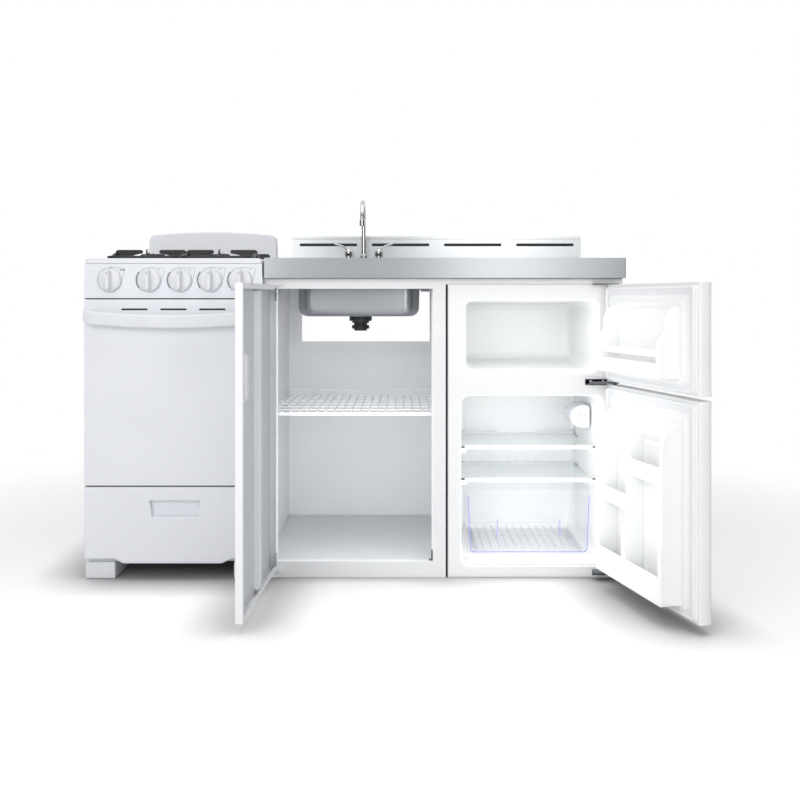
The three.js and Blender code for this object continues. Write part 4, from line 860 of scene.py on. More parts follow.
def makeOvenRack():
    inset, z = rack["frame"], rack["z"]
    x0, x1, y0, y1 = rack["x0"] + inset, rack["x1"] - inset, rack["y0"] + inset, rack["y1"] - inset
    outline = roundRect(x0, x1, y0, y1, rack["corner"], 5)
    frameWire = sweep([(x, y, z) for x, y in outline], circle(rack["frame"], 12), closed=True)
    count = int((rack["x1"] - rack["x0"] - 20) / rack["pitch"])
    pitch = (x1 - x0) / (count + 1)
    half, middleY = (y1 - y0) / 2, (y0 + y1) / 2
    wire = lathe([(0, -half), (rack["wire"], -half), (rack["wire"], half), (0, half)], 0, 0, 0, 10)
    finishRow("oven_rack_wires", wire, [(x0 + pitch * (i + 1), middleY, z + 1.2) for i in range(count)],
              "chromePlate", "oven_rack", turns=[(math.pi / 2, 0, 0)] * count)
    cross = [sweep([(x0, y, z - 0.6), (x1, y, z - 0.6)], circle(rack["cross"], 12))
             for y in (middleY - rack["crossFrom"], middleY + rack["crossFrom"])]
    finishPiece("oven_rack_frame", joined(frameWire, *cross), "chromePlate", "oven_rack")


makeOvenDoor()
makeRangeDrawer()
makeOvenRack()
print("oven door, drawer and rack ready")


counter = {"edge": 2.5, "front": -20, "top": 914, "splashTop": 1016, "slots": (649, 899, 1149, 1399),
           "slotHalf": 103.5}
bowl = {"x": 774, "y": 260, "width": 370, "depth": 350, "corner": 48, "wall": 2, "rim": 909.7,
        "floor": 744.7, "foot": 26, "slope": 3, "flange": 14, "drainRing": 35}


def makeCounter():
    def level(a, b, z):
        return max(abs(a.z - z), abs(b.z - z)) < 0.6
    top = dressed("countertop", "brushedSteel", counter["edge"], 3, minAngle=60,
                  where=lambda a, b: (level(a, b, counter["top"]) and min(a.y, b.y) < counter["front"])
                  or level(a, b, counter["splashTop"]))
    # The backsplash's faces take the paler steel: a painted sheen
    top.data.materials.append(finishes["splashSteelPaintedSheen"][0])
    for face in top.data.polygons:
        face.material_index = 1 if fromRow(face.center).z > counter["top"] + 1 else 0
    # The folded lower lip of the front edge, and the fold along the backsplash's top
    lip = prism([(-24.6, 857.6), (-24.6, 861), (-21, 864), (-19, 857.6)], 511, 1537, "side")
    finishPiece("counter_lip", lip, "satinSteel")
    fold = prism([(589.4, 1003), (588.8, 1004), (588.8, 1013.5), (590.4, 1015.6), (592, 1015.6),
                  (592, 1003)], 525.5, 1522.5, "side")
    finishPiece("splash_fold", roundEdges(fold, 0.5), "splashSteelPaintedSheen")
    # Dark sheet behind each slot of the backsplash: painted shade, so that the slots read dark
    slotShades = [box(x - counter["slotHalf"], x + counter["slotHalf"], 594.4, 596, 974, 994)
               for x in counter["slots"]]
    finishPiece("splash_baffles", joined(*slotShades), "blackPlastic")


def bowlRing(inset, z):
    x, y, wide, deep = bowl["x"], bowl["y"], bowl["width"] / 2 - inset, bowl["depth"] / 2 - inset
    corner = max(bowl["corner"] - inset * 0.6, 14)
    return [(u, v, z) for u, v in roundRect(x - wide, x + wide, y - deep, y + deep, corner, 8)]


def roundRing(radius, z):  # as many points as a bowl ring, for the drain hole
    count = len(bowlRing(0, 0))
    start = -math.pi / 2 + math.pi / 4 / 9
    return [(bowl["x"] + radius * math.cos(start + 2 * math.pi * i / count),
             bowl["y"] + radius * math.sin(start + 2 * math.pi * i / count), z) for i in range(count)]


# Pressed bowl: a flange under the counter, drafted walls and a wide fillet into the floor
def makeBowl():
    foot, slope = bowl["foot"], bowl["slope"] + 2

    def wallRings(out, top, low):
        rings = [bowlRing(-out, top), bowlRing(-out + 2, top - 12), bowlRing(-out + slope, low + foot)]
        for i in range(1, 8):
            a = math.radians(90 * i / 7)
            rings.append(bowlRing(-out + slope + foot * (1 - math.cos(a)), low + foot * (1 - math.sin(a))))
        return rings + [bowlRing(88, low - 0.2), roundRing(bowl["drainRing"], low - 0.4)]
    inner = wallRings(-bowl["wall"], bowl["rim"], bowl["floor"] + bowl["wall"])
    outer = wallRings(0, bowl["rim"] - bowl["wall"], bowl["floor"] + 0.5)
    flange = [bowlRing(-bowl["flange"], z) for z in (bowl["rim"], bowl["rim"] - 2)]
    finishPiece("sink_bowl_pressing", loft(inner[::-1] + flange + outer, closedLoft=True), "satinSteel",
                "sink_bowl", sharp=50)


# Turned pieces of the drain: heights are above the bowl's floor
drain = {"flange": [(15, -16), (33.6, -16), (34, -12), (34, 2.3), (48, 2.3), (47.5, 3.6), (44, 4.3),
                    (33, 4.1), (32, 1), (31.6, -13.8), (15, -14)],
         "nut": [(34.1, -15.6), (34.9, -14.8), (34.9, -2), (34.1, -1)],
         "outlet": [(15, -46.3), (19.4, -46.3), (20, -45.3), (20, -40.3), (26, -40.3), (26.4, -39.3),
                    (26.4, -30.3), (25.6, -29.3), (20.4, -29.3), (20.4, -22.7), (25.9, -22.3),
                    (26.4, -21.5), (26.4, -17.1), (25.8, -16.3), (15, -16.3), (15, -45.3)],
         "basket": [(0, -13.6), (23, -13.6), (25, -12.6), (29.6, 4.5), (30, 5.4), (28.6, 5.4), (24, -11.4),
                    (22, -12), (4, -12), (4, 12.3), (7.6, 13.7), (9, 15.7), (8.6, 19.3), (6, 20.9),
                    (0, 21.3)],
         "holes": ((9, 8), (15, 14), (20, 18))}


def makeDrain():
    x, y, low = bowl["x"], bowl["y"], bowl["floor"]
    turnings = {part: lathe(drain[part], x, y, low, 48) for part in ("flange", "nut", "outlet", "basket")}
    finishPiece("drain_flange_turning", turnings["flange"], "satinSteel", "drain_flange")
    finishPiece("drain_locknut", turnings["nut"], "blackPlastic")
    ribs = around(12, (-1.4, 1.4, 25.2, 27, low - 39.3, low - 30.3), (x, y, 0), "Z")
    finishPiece("drain_tailpiece", joined(turnings["outlet"], *ribs), "blackPlastic", "drain_outlet")
    finishPiece("strainer_cup", turnings["basket"], "satinSteel", "strainer_basket")
    hole = lathe([(0, 0), (1.7, 0), (1.7, 0.5), (0, 0.5)], 0, 0, 0, 10)
    spots = [(x + u, y + v, low - 12.1) for radius, count in drain["holes"]
             for u, v in circle(radius, count)]
    finishRow("strainer_holes", hole, spots, "blackPlastic", "strainer_basket")


# Turned and bent pieces of the faucet: heights are above the deck, the nozzle's above its tip
faucet = {"y": 515, "left": 723, "middle": 774, "right": 825, "deck": 914.3, "tube": 7.2, "rise": 1053,
          "bend": 65, "tip": 1035,
          "shank": [(0, -40), (12.6, -40), (13, -39), (13, 0), (20, 0), (21, 1), (20.8, 3), (18, 5.4),
                    (14.4, 7.6), (12.6, 10.4)],
          "middleTop": [(11.4, 13.2), (10.6, 14), (0, 14)],
          "sideTop": [(10.6, 15), (10, 25.4), (9.4, 26), (6, 26), (6, 42), (0, 42)],
          "collar": [(0, 14.3), (11.6, 14.3), (12, 14.9), (12, 20.3), (11, 21.7), (11.6, 22.5),
                     (11.2, 25.3), (8.6, 32.3), (7.4, 35.3), (0, 35.3)],
          "nozzle": [(6, 1.4), (6.4, 0), (9, 0), (9.5, 0.8), (9.5, 7.6), (9, 8.2), (9, 9), (9.5, 9.6),
                     (9.5, 16), (8.4, 19), (7.4, 21.6), (0, 21.6), (0, 1.4)],
          "lever": 26.3,
          "leverCap": [(6.3, 0), (10.6, 0), (11, 0.6), (11.6, 3), (12.8, 9), (12.9, 12), (12, 16), (10, 20),
                       (8, 23), (5, 25.4), (0, 26), (0, 17), (6.3, 17)],
          "leverPath": [(2, 18), (11, 29), (26, 36.5), (46.6, 42)],
          "leverEnd": [(0, -3), (2.6, -2.4), (3.4, 0), (2.6, 2.4), (0, 3)]}


def makeFaucet():
    f = faucet
    y, deck, x = f["y"], f["deck"], f["middle"]
    parts = [softBox(713, 835, y - 10, y + 10, deck - 38, deck - 18, 3, 3)]
    for place in ("left", "middle", "right"):
        shank = f["shank"] + f["middleTop" if place == "middle" else "sideTop"]
        parts.append(lathe(shank, f[place], y, deck))
    finishPiece("faucet_valves", joined(*parts), "chromePlate", "faucet_body")

    rise, bend = f["rise"], f["bend"]
    path = [(x, y, deck + 20.3), (x, y, deck + 54.3), (x, y, rise)]
    path += [(x, v - bend, w) for v, w in arc(y, rise, bend, 0, 180, 32)[1:]]
    path += [(x, y - 2 * bend, rise - 6)]
    tube = sweep(path, circle(f["tube"], 24), up=Vector((1, 0, 0)))
    collar = lathe(f["collar"], x, y, deck)
    nozzle = lathe(f["nozzle"], x, y - 2 * bend, f["tip"])
    finishPiece("faucet_gooseneck", joined(tube, collar, nozzle), "chromePlate", "faucet_spout")

    z = deck + f["lever"]
    for name, side in (("left", -1), ("right", 1)):
        path = smoothPath([(f[name] + side * u, y, z + w) for u, w in f["leverPath"]])
        arm = sweep(path, roundRect(-6, 6, -3.2, 3.2, 3, 5),
                    lambda t: 0.8 + 0.2 * t - 0.5 * max(0, t - 0.93))
        tip = lathe(f["leverEnd"], f[name] + side * 45.6, y, z + 41.8, 20)
        cap = lathe(f["leverCap"], f[name], y, z)
        node = "faucet_lever_" + name
        finishPiece(node + "_casting", joined(cap, arm, tip), "chromePlate", node)


makeCounter()
makeBowl()
makeDrain()
makeFaucet()
print("counter, bowl, drain and faucet ready")


def screwHeads(name, spots, finish="zincPlate", body=None, turns=None, radius=4):
    head = lathe([(0, 0), (radius, 0), (radius * 0.95, 0.7), (radius * 0.6, 1.5), (radius * 0.34, 1.75),
                  (radius * 0.3, 1.1), (0, 1.1)], 0, 0, 0, 18)
    return finishRow(name, head, spots, finish, body=body, turns=turns)


def makeCabinetShell():
    for node, edge in (("left_side", 0.6), ("divider", 0.6), ("back", 0.8)):
        dressed("cabinet_" + node, "sheetGrey", edge, 1)
    dressed("cabinet_floor", "floorGrey", 0.8, 1)
    dressed("front_frame", "powderWhite", 1.6, 3)
    # Return flanges of the opening's sides, turned in behind the frame
    flanges = [box(x, x + 2, 20.3, 34, 47.5, 826) for x in (541.6, 988.6)]
    finishPiece("frame_flanges", joined(*flanges), "powderWhite")
    # Narrow flange down the back sheet's opening at the left, and its folded lower edge
    folds = [box(544.4, 557, 601.6, 603, 649.4, 826), box(544.4, 999.6, 596, 603, 646.4, 648.6)]
    finishPiece("back_folds", joined(*folds), "powderWhite")
    plug = lathe([(0, 0), (4.6, 0), (5, 0.5), (4.2, 1.4), (0, 1.7)], 511.3, 262, 380, 20, "side")
    finishPiece("side_plug", plug, "inkBlack")
    catch = [softBox(956.4, 981.6, 2.2, 19.6, 818, 826.2, 1.6, 3),
             softBox(960, 978, 1.2, 3, 819.4, 825, 0.5)]
    finishPiece("door_catch_body", joined(*catch), "hingeGrey", "door_catch")
    # Floor bracket at the right of the opening, where a latch hooks in
    hook = [softBox(986.6, 991.8, 4, 22, 48, 75, 1), box(980, 990, 6, 18, 47.6, 50)]
    finishPiece("floor_bracket", joined(*hook), "hingeGrey")
    screwHeads("frame_screws", [(980, 1, 838.6), (552, 0, 838)], "powderWhite",
               turns=[(math.pi / 2, 0, 0)] * 2, radius=3.4)


wireShelf = {"front": 45, "back": 545, "left": 511.9, "right": 1024.4, "level": 466, "thin": 1.9,
             "thick": 2, "lip": 23, "pitch": 25.4, "cross": 7}


def makeWireShelf():
    x0, x1, y0, y1, level = (wireShelf[k] for k in ("left", "right", "front", "back", "level"))
    pitch, lip, cross = wireShelf["pitch"], wireShelf["lip"], wireShelf["cross"]
    count = int((x1 - x0 - 20) / pitch) + 1
    start = (x0 + x1) / 2 - (count - 1) * pitch / 2
    middle = ((x0 + x1) / 2, (y0 + y1) / 2)
    # Each long wire turns down a little over the front wire, and up to a low rail at the back
    bend = [(0, -248, -5.6), (0, -249, -1), (0, -245.5, 2.4), (0, -238, 2.8)]
    climb = [(0, 0, 2.8), (0, 236, 2.8), (0, 244, 4.5), (0, 246, 10), (0, 246, lip)]
    longWire = sweep(smoothPath(bend, 4) + smoothPath(climb, 4), circle(wireShelf["thin"], 10),
                     up=Vector((1, 0, 0)))
    finishRow("wire_shelf_long", longWire, [(start + i * pitch, middle[1], level) for i in range(count)],
              "wireVinyl", "wire_shelf", sharp=60)
    half = (x1 - x0) / 2 - 1
    crossWire = sweep([(-half, 0, 0), (half, 0, 0)], circle(wireShelf["thick"], 10))
    step = (y1 - y0 - 5) / (cross - 1)
    finishRow("wire_shelf_cross", crossWire,
              [(middle[0], y0 + 2.5 + i * step, level - 0.4) for i in range(cross)], "wireVinyl",
              "wire_shelf", sharp=60)
    hems = [sweep([(x0 + 1, y, z), (x1 - 1, y, z)], circle(wireShelf["thick"], 10))
            for y, z in ((y0 + 1.9, level - 6), (y1 - 6.4, level + lip - 1))]
    finishPiece("wire_shelf_hem", joined(*hems), "wireVinyl", "wire_shelf", sharp=60)


sinkDoor = {"pin": (536, -11), "open": -92.5, "bottom": 26, "top": 837, "lip": 14, "skin": (-18.9, -18.3),
            "pullLeft": 952, "pullWidth": 34, "pullLow": 546, "pullHigh": 671}


def makeSinkDoor():
    d = sinkDoor
    turn = (*d["pin"], d["open"])
    dressed("cabinet_door", "powderWhite", 1.6, 2, minAngle=60)
    # Grey inner skin between the folded edges, in two panels beside the stiffener
    low, high = d["bottom"] + d["lip"] + 0.6, d["top"] - d["lip"] - 0.6
    skins = [box(x0, x1, *d["skin"], z0, z1) for x0, x1, z0, z1 in
             ((543.6, 748.6, low, high), (784.4, 951, low, high), (951, 989.4, low, d["pullLow"] - 0.6),
              (951, 989.4, d["pullHigh"] + 0.6, high))]
    finishPiece("cabinet_door_inner", joined(*skins), "skinGrey", body="sink_door", turn=turn)
    # Recessed pull, moulded: seen from behind as a cup with sloping ends
    face = d["pullLeft"], d["pullLeft"] + d["pullWidth"], d["pullLow"], d["pullHigh"]
    outer = frontRings(*face, ((-18.6, 0.2, 0.2), (-8, 0.4, 1), (-1.5, 1.6, 6), (2.4, 4.4, 13),
                               (2.9, 7, 17)), 6, 4)
    inner = frontRings(*face, ((0.8, 8, 19), (-1.6, 5.4, 14), (-8, 4, 5), (-20.6, 3.1, 3.4)), 5, 4)
    rim = frontRings(*face, ((-20.8, 3.1, 3.2), (-18.6, 3, 3)), 4, 4)
    finishPiece("door_pull_cup", loft(inner + rim + outer), "knobPlastic", "door_pull", turn=turn,
                sharp=50)
    # Hinge straps folded over the door's edge, with their screws
    straps = [softBox(531, 556, -3.2, -2.2, z, z + 36, 0.4, 1) for z in (792, 38)]
    finishPiece("door_straps", joined(*straps), "satinSteel", body="sink_door", turn=turn)
    dressed("cabinet_hinge_top", "powderWhite", 0.5)
    dressed("cabinet_hinge_bottom", "powderWhite", 0.5)
    pin = Vector((*d["pin"], 0))
    spin = Matrix.Rotation(math.radians(d["open"]), 3, "Z")
    spots = [pin + spin @ (Vector((x, -2.2, z)) - pin) for x in (538, 549) for z in (800, 820, 46, 66)]
    screwHeads("door_strap_screws", spots, body="sink_door",
               turns=[(-math.pi / 2, 0, math.radians(d["open"]))] * len(spots), radius=2.8)


makeCabinetShell()
makeWireShelf()
makeSinkDoor()
print("sink cabinet, shelf and door ready")


fridge = {"left": 1034, "right": 1518, "depth": 417.5, "draft": 14, "draftOver": 420, "wall": 2.3,
          "mouth": 24, "backFillet": 26}
# Each space: left, right, low and high of its mouth, then of its flange
freezerSpace = (1084, 1468, 585, 797), (1036.2, 1515.8, 574.3, 837.6)
chillerSpace = (1070, 1482, 33, 522), (1036.2, 1515.8, 4.4, 573.7)


# One compartment drawn as a single sheet: round its flange, in through the mouth, to the back
def liningTub(mouth, flange):
    back, fillet = fridge["depth"], fridge["backFillet"]

    def ring(y, inset, radius=fridge["mouth"]):
        return frontRings(*mouth, ((y, inset),), radius, 8)

    def inside(extra, close):
        rings = []
        for i in range(1, 7):  # rolled edge of the mouth
            a = math.radians(90 * i / 6)
            rings += ring(-1.8 + 7 * (1 - math.cos(a)) + extra, 2.4 - 5.4 * (1 - math.sin(a)) - extra,
                          fridge["mouth"] + 6 - i)
        for y in (30, 120, 240, 340, back - fillet - extra):
            rings += ring(y, 2.4 + fridge["draft"] * y / fridge["draftOver"] - extra)
        low = 2.4 + fridge["draft"] * (back - fillet) / fridge["draftOver"]
        for i in range(1, 8):
            a = math.radians(90 * i / 7)
            rings += ring(back - fillet + fillet * math.sin(a) + (close if i == 7 else 0),
                          low + fillet * (1 - math.cos(a)) - extra)
        return rings
    rim = frontRings(*flange, ((-0.35, 0), (-1.4, 0), (-1.8, 0.5)), 2.4, 8)
    return loft(inside(0, 0)[::-1] + rim[::-1] + inside(fridge["wall"] * 0.62, 1.4))


def makeFridgeBody():
    dressed("fridge_body", "powderWhite", 1.4)
    tubs = joined(liningTub(*freezerSpace), liningTub(*chillerSpace))
    finishPiece("fridge_lining", tubs, "linerWhite", "fridge_liner", sharp=70)
    # Moulded ledges down both sides of the chiller, a step wider at their front end
    parts = []
    for z in (357, 262):
        for side in (-1, 1):
            edge = 1276 + side * 206
            for y0, y1, wide, low in ((92, 402, 21, 8), (96, 128, 24, 14), (330, 400, 25, 5)):
                ends = sorted((edge - side * 0.6, edge - side * wide))
                parts.append(softBox(*ends, y0, y1, z - low - 0.6, z - 0.4, 2.6, 3))
    for x in (1094, 1458):  # cable duct in the rear corners, floor to ledge
        parts.append(softBox(x - 9, x + 9, 386, 404, 372, 504, 5, 3))
    parts.append(softBox(1108, 1444, 397, 409, 40, 66, 4, 3))
    finishPiece("lining_ledges", joined(*parts), "linerWhite", "fridge_liner", sharp=60)
    # Steps of the chiller's threshold, and the strip between the two doors
    steps = [softBox(1084, 1468, 4, 60, 35.6, 43, 3, 3), softBox(1092, 1460, 22, 64, 40, 49, 3, 3)]
    finishPiece("chiller_threshold", joined(*steps), "trimWhite", "fridge_liner", sharp=60)
    finishPiece("mullion_strip", softBox(1058, 1424, -2.3, -1.2, 534, 581, 0.4), "linerWhite")


shelves = {"left": 1088, "right": 1464, "front": 78, "back": 398, "glass": 3.6, "vents": 13}


def makeShelves():
    x0, x1, y0, y1 = (shelves[k] for k in ("left", "right", "front", "back"))
    sheet = softBox(x0 + 1, x1 - 1, y0 + 4, y1 - 1, 357.2, 357.2 + shelves["glass"], 0.8)
    finishPiece("shelf_pane", sheet, "shelfGlass", "glass_shelf")
    trims = [softBox(x0, x1, y0, y0 + 11, 355.2, 365.8, 3, 4),
             softBox(x0, x0 + 128, y1 - 10, y1, 357.4, 367, 2, 3),
             softBox(x1 - 118, x1, y1 - 10, y1, 357.4, 367, 2, 3),
             softBox(x0 + 126, x1 - 116, y1 - 7, y1, 357.4, 361.6, 1.4)]
    finishPiece("shelf_trims", joined(*trims), "trimWhite", "glass_shelf", sharp=60)

    pane = softBox(x0 + 1, x1 - 1, y0 + 4, y1 - 22, 262.2, 265.4, 0.8)
    finishPiece("crisper_pane", pane, "shelfGlass", "crisper_cover")
    nose = softBox(x0, x1, y0, y0 + 10, 258.4, 269.8, 3, 4)
    rails = [softBox(x0, x1, y1 - far, y1 - near, 261.4, 268, 1.2) for far, near in ((24, 20), (6, 0))]
    finishPiece("crisper_cover_trims", joined(nose, *rails), "trimWhite", "crisper_cover", sharp=60)
    spots = [(x0 + 14 + i * 29, y1 - 13, 264.6) for i in range(shelves["vents"])]
    finishRow("crisper_cover_vents", softBox(-5, 5, -9, 9, -3, 3, 1.2), spots, "trimWhite",
              "crisper_cover", sharp=60)


crisper = {"left": 1096.5, "right": 1455.5, "front": 82.2, "back": 389.6, "low": 57, "top": 234.8,
           "corner": 18, "lean": 8, "wall": 2.6, "skin": 1.6, "fillet": 12, "frontLow": 51, "pullLow": 97,
           "pullHigh": 151, "pullHalf": 92, "ribs": 12}


def makeCrisper():
    c = crisper
    low, top, fillet, skinDepth = c["low"], c["top"], c["fillet"], c["skin"]

    def ring(z, inset):
        lean = c["lean"] * (1 - (z - low) / (top - low))
        return [(x, y, z) for x, y in roundRect(c["left"] + inset + lean, c["right"] - inset - lean,
                                                c["front"] + inset, c["back"] - inset - lean,
                                                max(c["corner"] - inset, 4))]
    # One skin, so that light passes through few surfaces: the rim, the walls, then the floor
    stages = [(top - 0.4, c["wall"]), (top, 0), (top - 5, 0), (top - 6, skinDepth),
              (low + fillet, skinDepth)]
    for a in (22, 45, 67, 90):
        stages.append((low + fillet * (1 - math.sin(math.radians(a))),
                       skinDepth + fillet * (1 - math.cos(math.radians(a)))))
    skin = [ring(z, inset) for z, inset in stages]
    tub = loft(skin, caps=False)
    tub.verts.ensure_lookup_table()
    tub.faces.new(tub.verts[-len(skin[0]):])
    feet = [softBox(x, x + 12, 102, 368, 50.6, 60, 2) for x in (1116.5, 1424.5)]
    finishPiece("crisper_tub", joined(tub, *feet), "crisperClear", "crisper_drawer", sharp=60)
    # Recessed pull: a pocket behind the front, with a lip along its top
    mid = (c["left"] + c["right"]) / 2
    ends = mid - c["pullHalf"], mid + c["pullHalf"]
    pocket = frontRings(*ends, c["pullLow"], c["pullHigh"], ((82.6, 0), (84, 0.6), (96, 3), (98, 6)), 4, 4)
    finishPiece("crisper_pull", loft(pocket, caps=False), "crisperClear", "crisper_drawer")
    # Blue where the light gathers: along the front's rim and the ends of the pull
    foot, left, right = c["frontLow"] + 1.2, c["left"] + c["lean"], c["right"] - c["lean"]
    path = ([(c["left"] + 1, top - 18)] + arc(left + 12, foot + 12, 12, 180, 270, 8)
            + arc(right - 12, foot + 12, 12, 270, 360, 8) + [(c["right"] - 1, top - 18)])
    near = c["front"] + 0.1
    edges = [ribbon(path, 2, near, near + 1.8)]
    edges += [ribbon([(x, c["pullHigh"] - 2), (x, c["pullLow"] - 2)], 1.6, near, near + 1.5) for x in ends]
    finishPiece("crisper_rim_line", joined(*edges), "crisperEdge", "crisper_drawer")
    # Ribs along the tub's floor
    finishRow("crisper_floor_ribs", softBox(-2, 2, -140, 140, -1.6, 1.6, 1),
              [(mid - 132 + i * 24, 236, low + 5) for i in range(c["ribs"])], "crisperClear",
              "crisper_drawer", sharp=60)


thermostat = {"left": 1411.5, "right": 1469.2, "low": 408, "top": 476, "dialX": 1437.5, "dialZ": 436,
              "face": 149.4, "knurls": 24,
              "dial": [(0, -8), (3, -8), (3, 0.6), (16.4, 0.6), (17, 1.4), (17, 6), (16, 9), (14, 10),
                       (0, 10.6)]}


def makeThermostat():
    t = thermostat
    rings = []
    for y, e in ((150.4, 5), (151.6, 2), (154.4, 0.4), (160, 0), (270, 0), (284, 4), (289.6, 14)):
        low, high, left, right = t["low"] + e, t["top"] - e * 0.6, t["left"] + e, t["right"] - e * 0.2
        tall = (high - low) / 2
        outline = (arc(right - 8, low + 8, 8, -90, 0, 5) + arc(right - 8, high - 8, 8, 0, 90, 5)
                   + arc(left + tall, low + tall, tall, 90, 270, 20))
        rings.append([(x, y, z) for x, z in outline])
    finishPiece("thermostat_housing", loft(rings), "trimWhite", "thermostat_box", sharp=60)
    lens = softBox(t["left"] - 0.4, t["left"] + 2, 172, 262, 420, 462, 1)
    finishPiece("lamp_lens", lens, "crisperClear")
    x, z, face = t["dialX"], t["dialZ"], t["face"]
    dial = lathe(t["dial"], x, face, z, 48, "front")
    grip = softBox(x - 2.8, x + 2.8, 134.4, 141, z - 14.6, z + 14.6, 1.2, 3)
    knurls = around(t["knurls"], (-0.5, 0.5, -6.2, -2.2, 16.6, 17.3), (x, face, z), "Y")
    finishPiece("thermostat_knob", joined(dial, grip, *knurls), "trimWhite", "thermostat_dial", sharp=60)
    marks = [dotMark(u, v, 1.1, 10, (150.2, 151)) for u, v in arc(x, z, 21, 150, -90, 6)]
    finishPiece("thermostat_marks", joined(*marks), "inkGrey")
    pointer = prism(roundRect(x - 0.9, x + 0.9, z + 6, z + 13.6, 0.8, 3), 134.1, 134.8)
    finishPiece("thermostat_pointer", pointer, "inkBlack", "thermostat_dial")


fridgeDoors = {"pin": (1506, -32), "open": 104, "front": -55, "back": -15, "reach": 55, "wall": 16,
               "left": 1042, "right": 1510}


def quad(a, b, c, steps=8):
    return [((1 - t) ** 2 * a[0] + 2 * t * (1 - t) * b[0] + t * t * c[0],
             (1 - t) ** 2 * a[1] + 2 * t * (1 - t) * b[1] + t * t * c[1])
            for t in (i / steps for i in range(steps + 1))]


# Plan of a door: the handle side is rolled to the front, the hinge side a little
def doorPlan(inset):
    x0, x1 = fridge["left"] + inset, fridge["right"] - inset
    front, back = fridgeDoors["front"] + inset, fridgeDoors["back"]
    return (quad((x1 - 14, front), (x1, front), (x1, front + 14)) + [(x1, back), (x0 + 8, back)]
            + quad((x0 + 8, back), (x0, back), (x0, back - 8), 4)[1:]
            + quad((x0, front + 22), (x0, front), (x0 + 22, front)))


# Side of a moulded wall: full below the waist, eased in above it, then a broad dome to the door
def wallProfile(z0, z1, waist, step, dome):
    reach = fridgeDoors["reach"]
    upper = reach - step
    low = [(-13, z0), (reach - 9, z0 + 3)] + arc(reach - 8.2, z0 + 11.2, 8, -80, 0, 6)
    ease = [(reach - step * t * t * (3 - 2 * t), waist + 36 * t) for t in (i / 14 for i in range(15))]
    crown = [(-4 + (upper + 4) * math.cos(math.radians(a)),
              z1 - 0.4 - dome * (1 - math.sin(math.radians(a)))) for a in range(0, 91, 6)]
    return [(y - 0.2, z) for y, z in low + ease + crown] + [(-13, z1 - 0.4)]


# The outline moved inwards along its own normals
def drawnIn(outline, inset):
    moved = []
    for i, (u, v) in enumerate(outline):
        (au, av), (bu, bv) = outline[i - 1], outline[(i + 1) % len(outline)]
        length = math.hypot(bu - au, bv - av)
        moved.append((u - (bv - av) / length * inset, v + (bu - au) / length * inset))
    return moved


def doorWall(x, z0, z1, waist, step, dome):
    outline = wallProfile(z0, z1, waist, step, dome)
    soft, left, right = 5, x + 0.2, x + fridgeDoors["wall"] - 0.2
    turns = [math.radians(18 * i) for i in range(6)]
    slices = [(left + soft * (1 - math.cos(a)), soft * (1 - math.sin(a))) for a in turns]
    slices += [(right - soft * (1 - math.cos(a)), soft * (1 - math.sin(a))) for a in reversed(turns)]
    return loft([[(across, y, z) for y, z in drawnIn(outline, inset)] for across, inset in slices])


def makeFridgeDoor(name, z0, z1, space, walls, waist, dome, trays, bays):
    pin = (*fridgeDoors["pin"], fridgeDoors["open"])
    door, liner = name + "_door", name + "_door_liner"
    body = nodes[door]["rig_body"]
    skin = loft([[(x, y, z) for x, y in doorPlan(0.9)] for z in (z0 + 9, z1 - 9)])
    finishPiece(door + "_skin", skin, "powderWhite", door, turn=pin, sharp=50)
    caps = []
    for low, high in ((z0, z0 + 9.6), (z1 - 9.6, z1)):
        inset = [(low, 2.2), (low + 0.6, 0.8), (low + 2, 0.2), (high - 2, 0.2), (high - 0.6, 0.8),
                 (high, 2.2)]
        caps.append(loft([[(x, y, z) for x, y in doorPlan(e)] for z, e in inset]))
    finishPiece(door + "_caps", joined(*caps), "powderWhite", door, turn=pin, sharp=30)

    # Lining: a plate with a raised pan, its side walls, trays and the beads round its bays
    x0, x1 = fridgeDoors["left"], fridgeDoors["right"]
    plate = frontRings(x0, x1, z0 + 6, z1 - 6, ((-14.7, 0.4), (-9, 0.4), (-7.6, 1.6)), 8, 5)
    pan = frontRings(walls[0][0] - 12, walls[-1][0] + 28, space[0] - 8, space[1] + 8,
                     ((-9, -7), (-6, -5.4), (-3.6, -2), (-2.8, 2), (-3.2, 6), (-5.4, 10), (-6.4, 15)), 20)
    parts = [loft(plate), loft(pan)] + [doorWall(x, *space, waist, step, dome) for x, step in walls]
    parts += [roundEdges(box(*corners), soft, 4) for *corners, soft in trays]
    for *corners, corner in bays:
        path = [(x, -6.2, z) for x, z in roundRect(*corners, corner, 8)]
        parts.append(sweep(path, circle(2.2, 8), up=Vector((0, 1, 0)), closed=True))
    finishPiece(door + "_lining", joined(*parts), "linerWhite", liner, turn=pin, sharp=60)

    # Gasket: a flat skirt, its grey painted shade, with a pale bulb along its outer edge
    for part, finish, inset, corner, y, section, sharp in (
            ("_gasket", "gasketShadeGrey", 13, 10, -7, [(-12, -1.4), (12, -1.4), (12, 0.6), (-12, 1)], 50),
            ("_bulb", "linerWhite", 4.5, 8, -5.4, [(2.9 * u, 2.6 * v) for u, v in circle(1, 12)], 60)):
        path, = frontRings(x0, x1, z0 + 6, z1 - 6, ((y, inset),), corner)
        finishPiece(door + part, sweep(path, section, up=Vector((0, 1, 0)), closed=True), finish,
                    body=body, turn=pin, sharp=sharp)


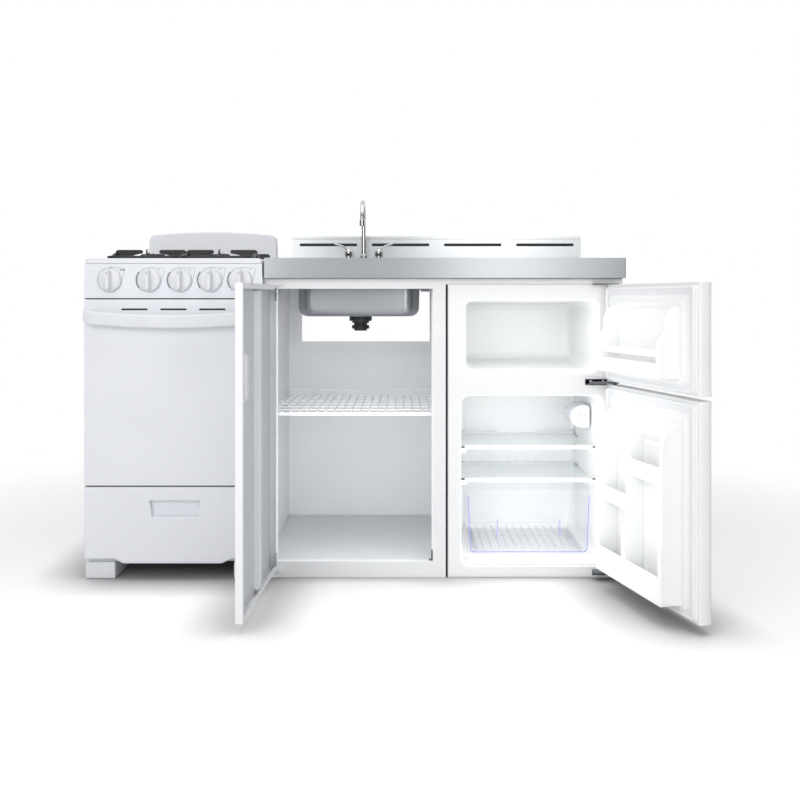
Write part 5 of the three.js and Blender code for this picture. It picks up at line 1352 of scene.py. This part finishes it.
def makeFridgeDoors():
    reach = fridgeDoors["reach"]
    near, far = reach - 1.4, reach - 18.4  # the fronts of the deep and of the shallow trays
    low = 601
    freezerTrays = [(1107, 1449, -9, near, low + 1.2, low + 6, 2),
                    (1107, 1449, near - 5, near, low + 2, low + 40, 2.2),
                    (1107, 1449, reach - 12, reach - 7, low + 54, low + 72, 2.2)]
    makeFridgeDoor("freezer", 565.5, 838, (low, 781), ((1106, 19), (1434, 19)), 684, 52, freezerTrays,
                   [(1124, 1430, 664, 776, 16)])
    low = 55
    fridgeTrays = [(1097, 1453, -9, near, low + 1.2, low + 6, 2),
                   (1097, 1453, near - 5, near, low + 2, low + 70, 2.2),
                   (1097, 1303, -9, far, low + 285, low + 290, 2),
                   (1097, 1303, far - 5, far, low + 287, low + 330, 2.2),
                   (1289, 1453, -9, far, low + 190, low + 195, 2),
                   (1289, 1453, far - 5, far, low + 192, low + 232, 2.2),
                   (1113, 1289, -9, 3, low + 391, low + 394, 1.3),
                   (1122, 1280, -9, -1, low + 366, low + 380, 3)]
    bays = [(1116, 1286, 70, 330, 62), (1116, 1286, 352, 492, 16), (1308, 1434, 70, 238, 30),
            (1308, 1434, 256, 492, 16)]
    makeFridgeDoor("fridge", 26, 554.5, (low, 500), ((1096, 4), (1288, 14), (1438, 14)), 190, 66,
                   fridgeTrays, bays)


def makeFridgeHinges():
    for node in ("hinge_top", "hinge_bottom", "hinge_centre"):
        dressed(node, "hingeGrey", 0.8)
    plate = softBox(1426.4, 1488, -3.9, -2, 550.6, 568.8, 0.7)
    finishPiece("hinge_plate", plate, "hingeGrey", "hinge_centre")
    screwHeads("hinge_screws", [(1442, -3.8, 560), (1478, -3.8, 560)], turns=[(math.pi / 2, 0, 0)] * 2,
               radius=5.2)


# The pot's heights are above the floor; the pipes' points are from the pot's middle
compressor = {"x": 1388, "y": 515,
              "pot": [(0, 18.4), (42, 18.4), (43.6, 22), (50, 29), (54, 42), (54.6, 60), (56, 64), (56, 68),
                      (54.6, 71), (54.4, 78), (53, 90), (48, 100), (40, 107), (26, 112), (0, 114.8)],
              "stud": [(0, 19), (6, 19), (6, 24), (4, 26), (0, 26)],
              "pipes": ([(-52, 0, 70), (-72, 6, 76), (-84, 4, 110), (-84, -10, 150), (-84, -40, 168),
                         (-84, -63, 172)],
                        [(50, 6, 84), (68, 12, 92), (74, 6, 130), (66, -20, 160), (66, -63, 166)])}


def makeCompressor():
    x, y = compressor["x"], compressor["y"]
    foot = softBox(x - 75, x + 75, y - 30, y + 30, 12.4, 20, 2, 3)
    studs = [lathe(compressor["stud"], x + a, y + b, 0, 6) for a in (-66, 66) for b in (-20, 20)]
    pot = lathe(compressor["pot"], x, y, 0, 48)
    finishPiece("compressor_pot", joined(pot, foot, *studs), "potBlack", "compressor", sharp=50)
    pipes = [sweep(smoothPath([(x + a, y + b, z) for a, b, z in path]), circle(3.2, 12))
             for path in compressor["pipes"]]
    finishPiece("refrigerant_lines", joined(*pipes), "copperTube", sharp=60)


makeFridgeBody()
makeShelves()
makeCrisper()
makeThermostat()
makeFridgeDoors()
makeFridgeHinges()
makeCompressor()
print("fridge-freezer ready")
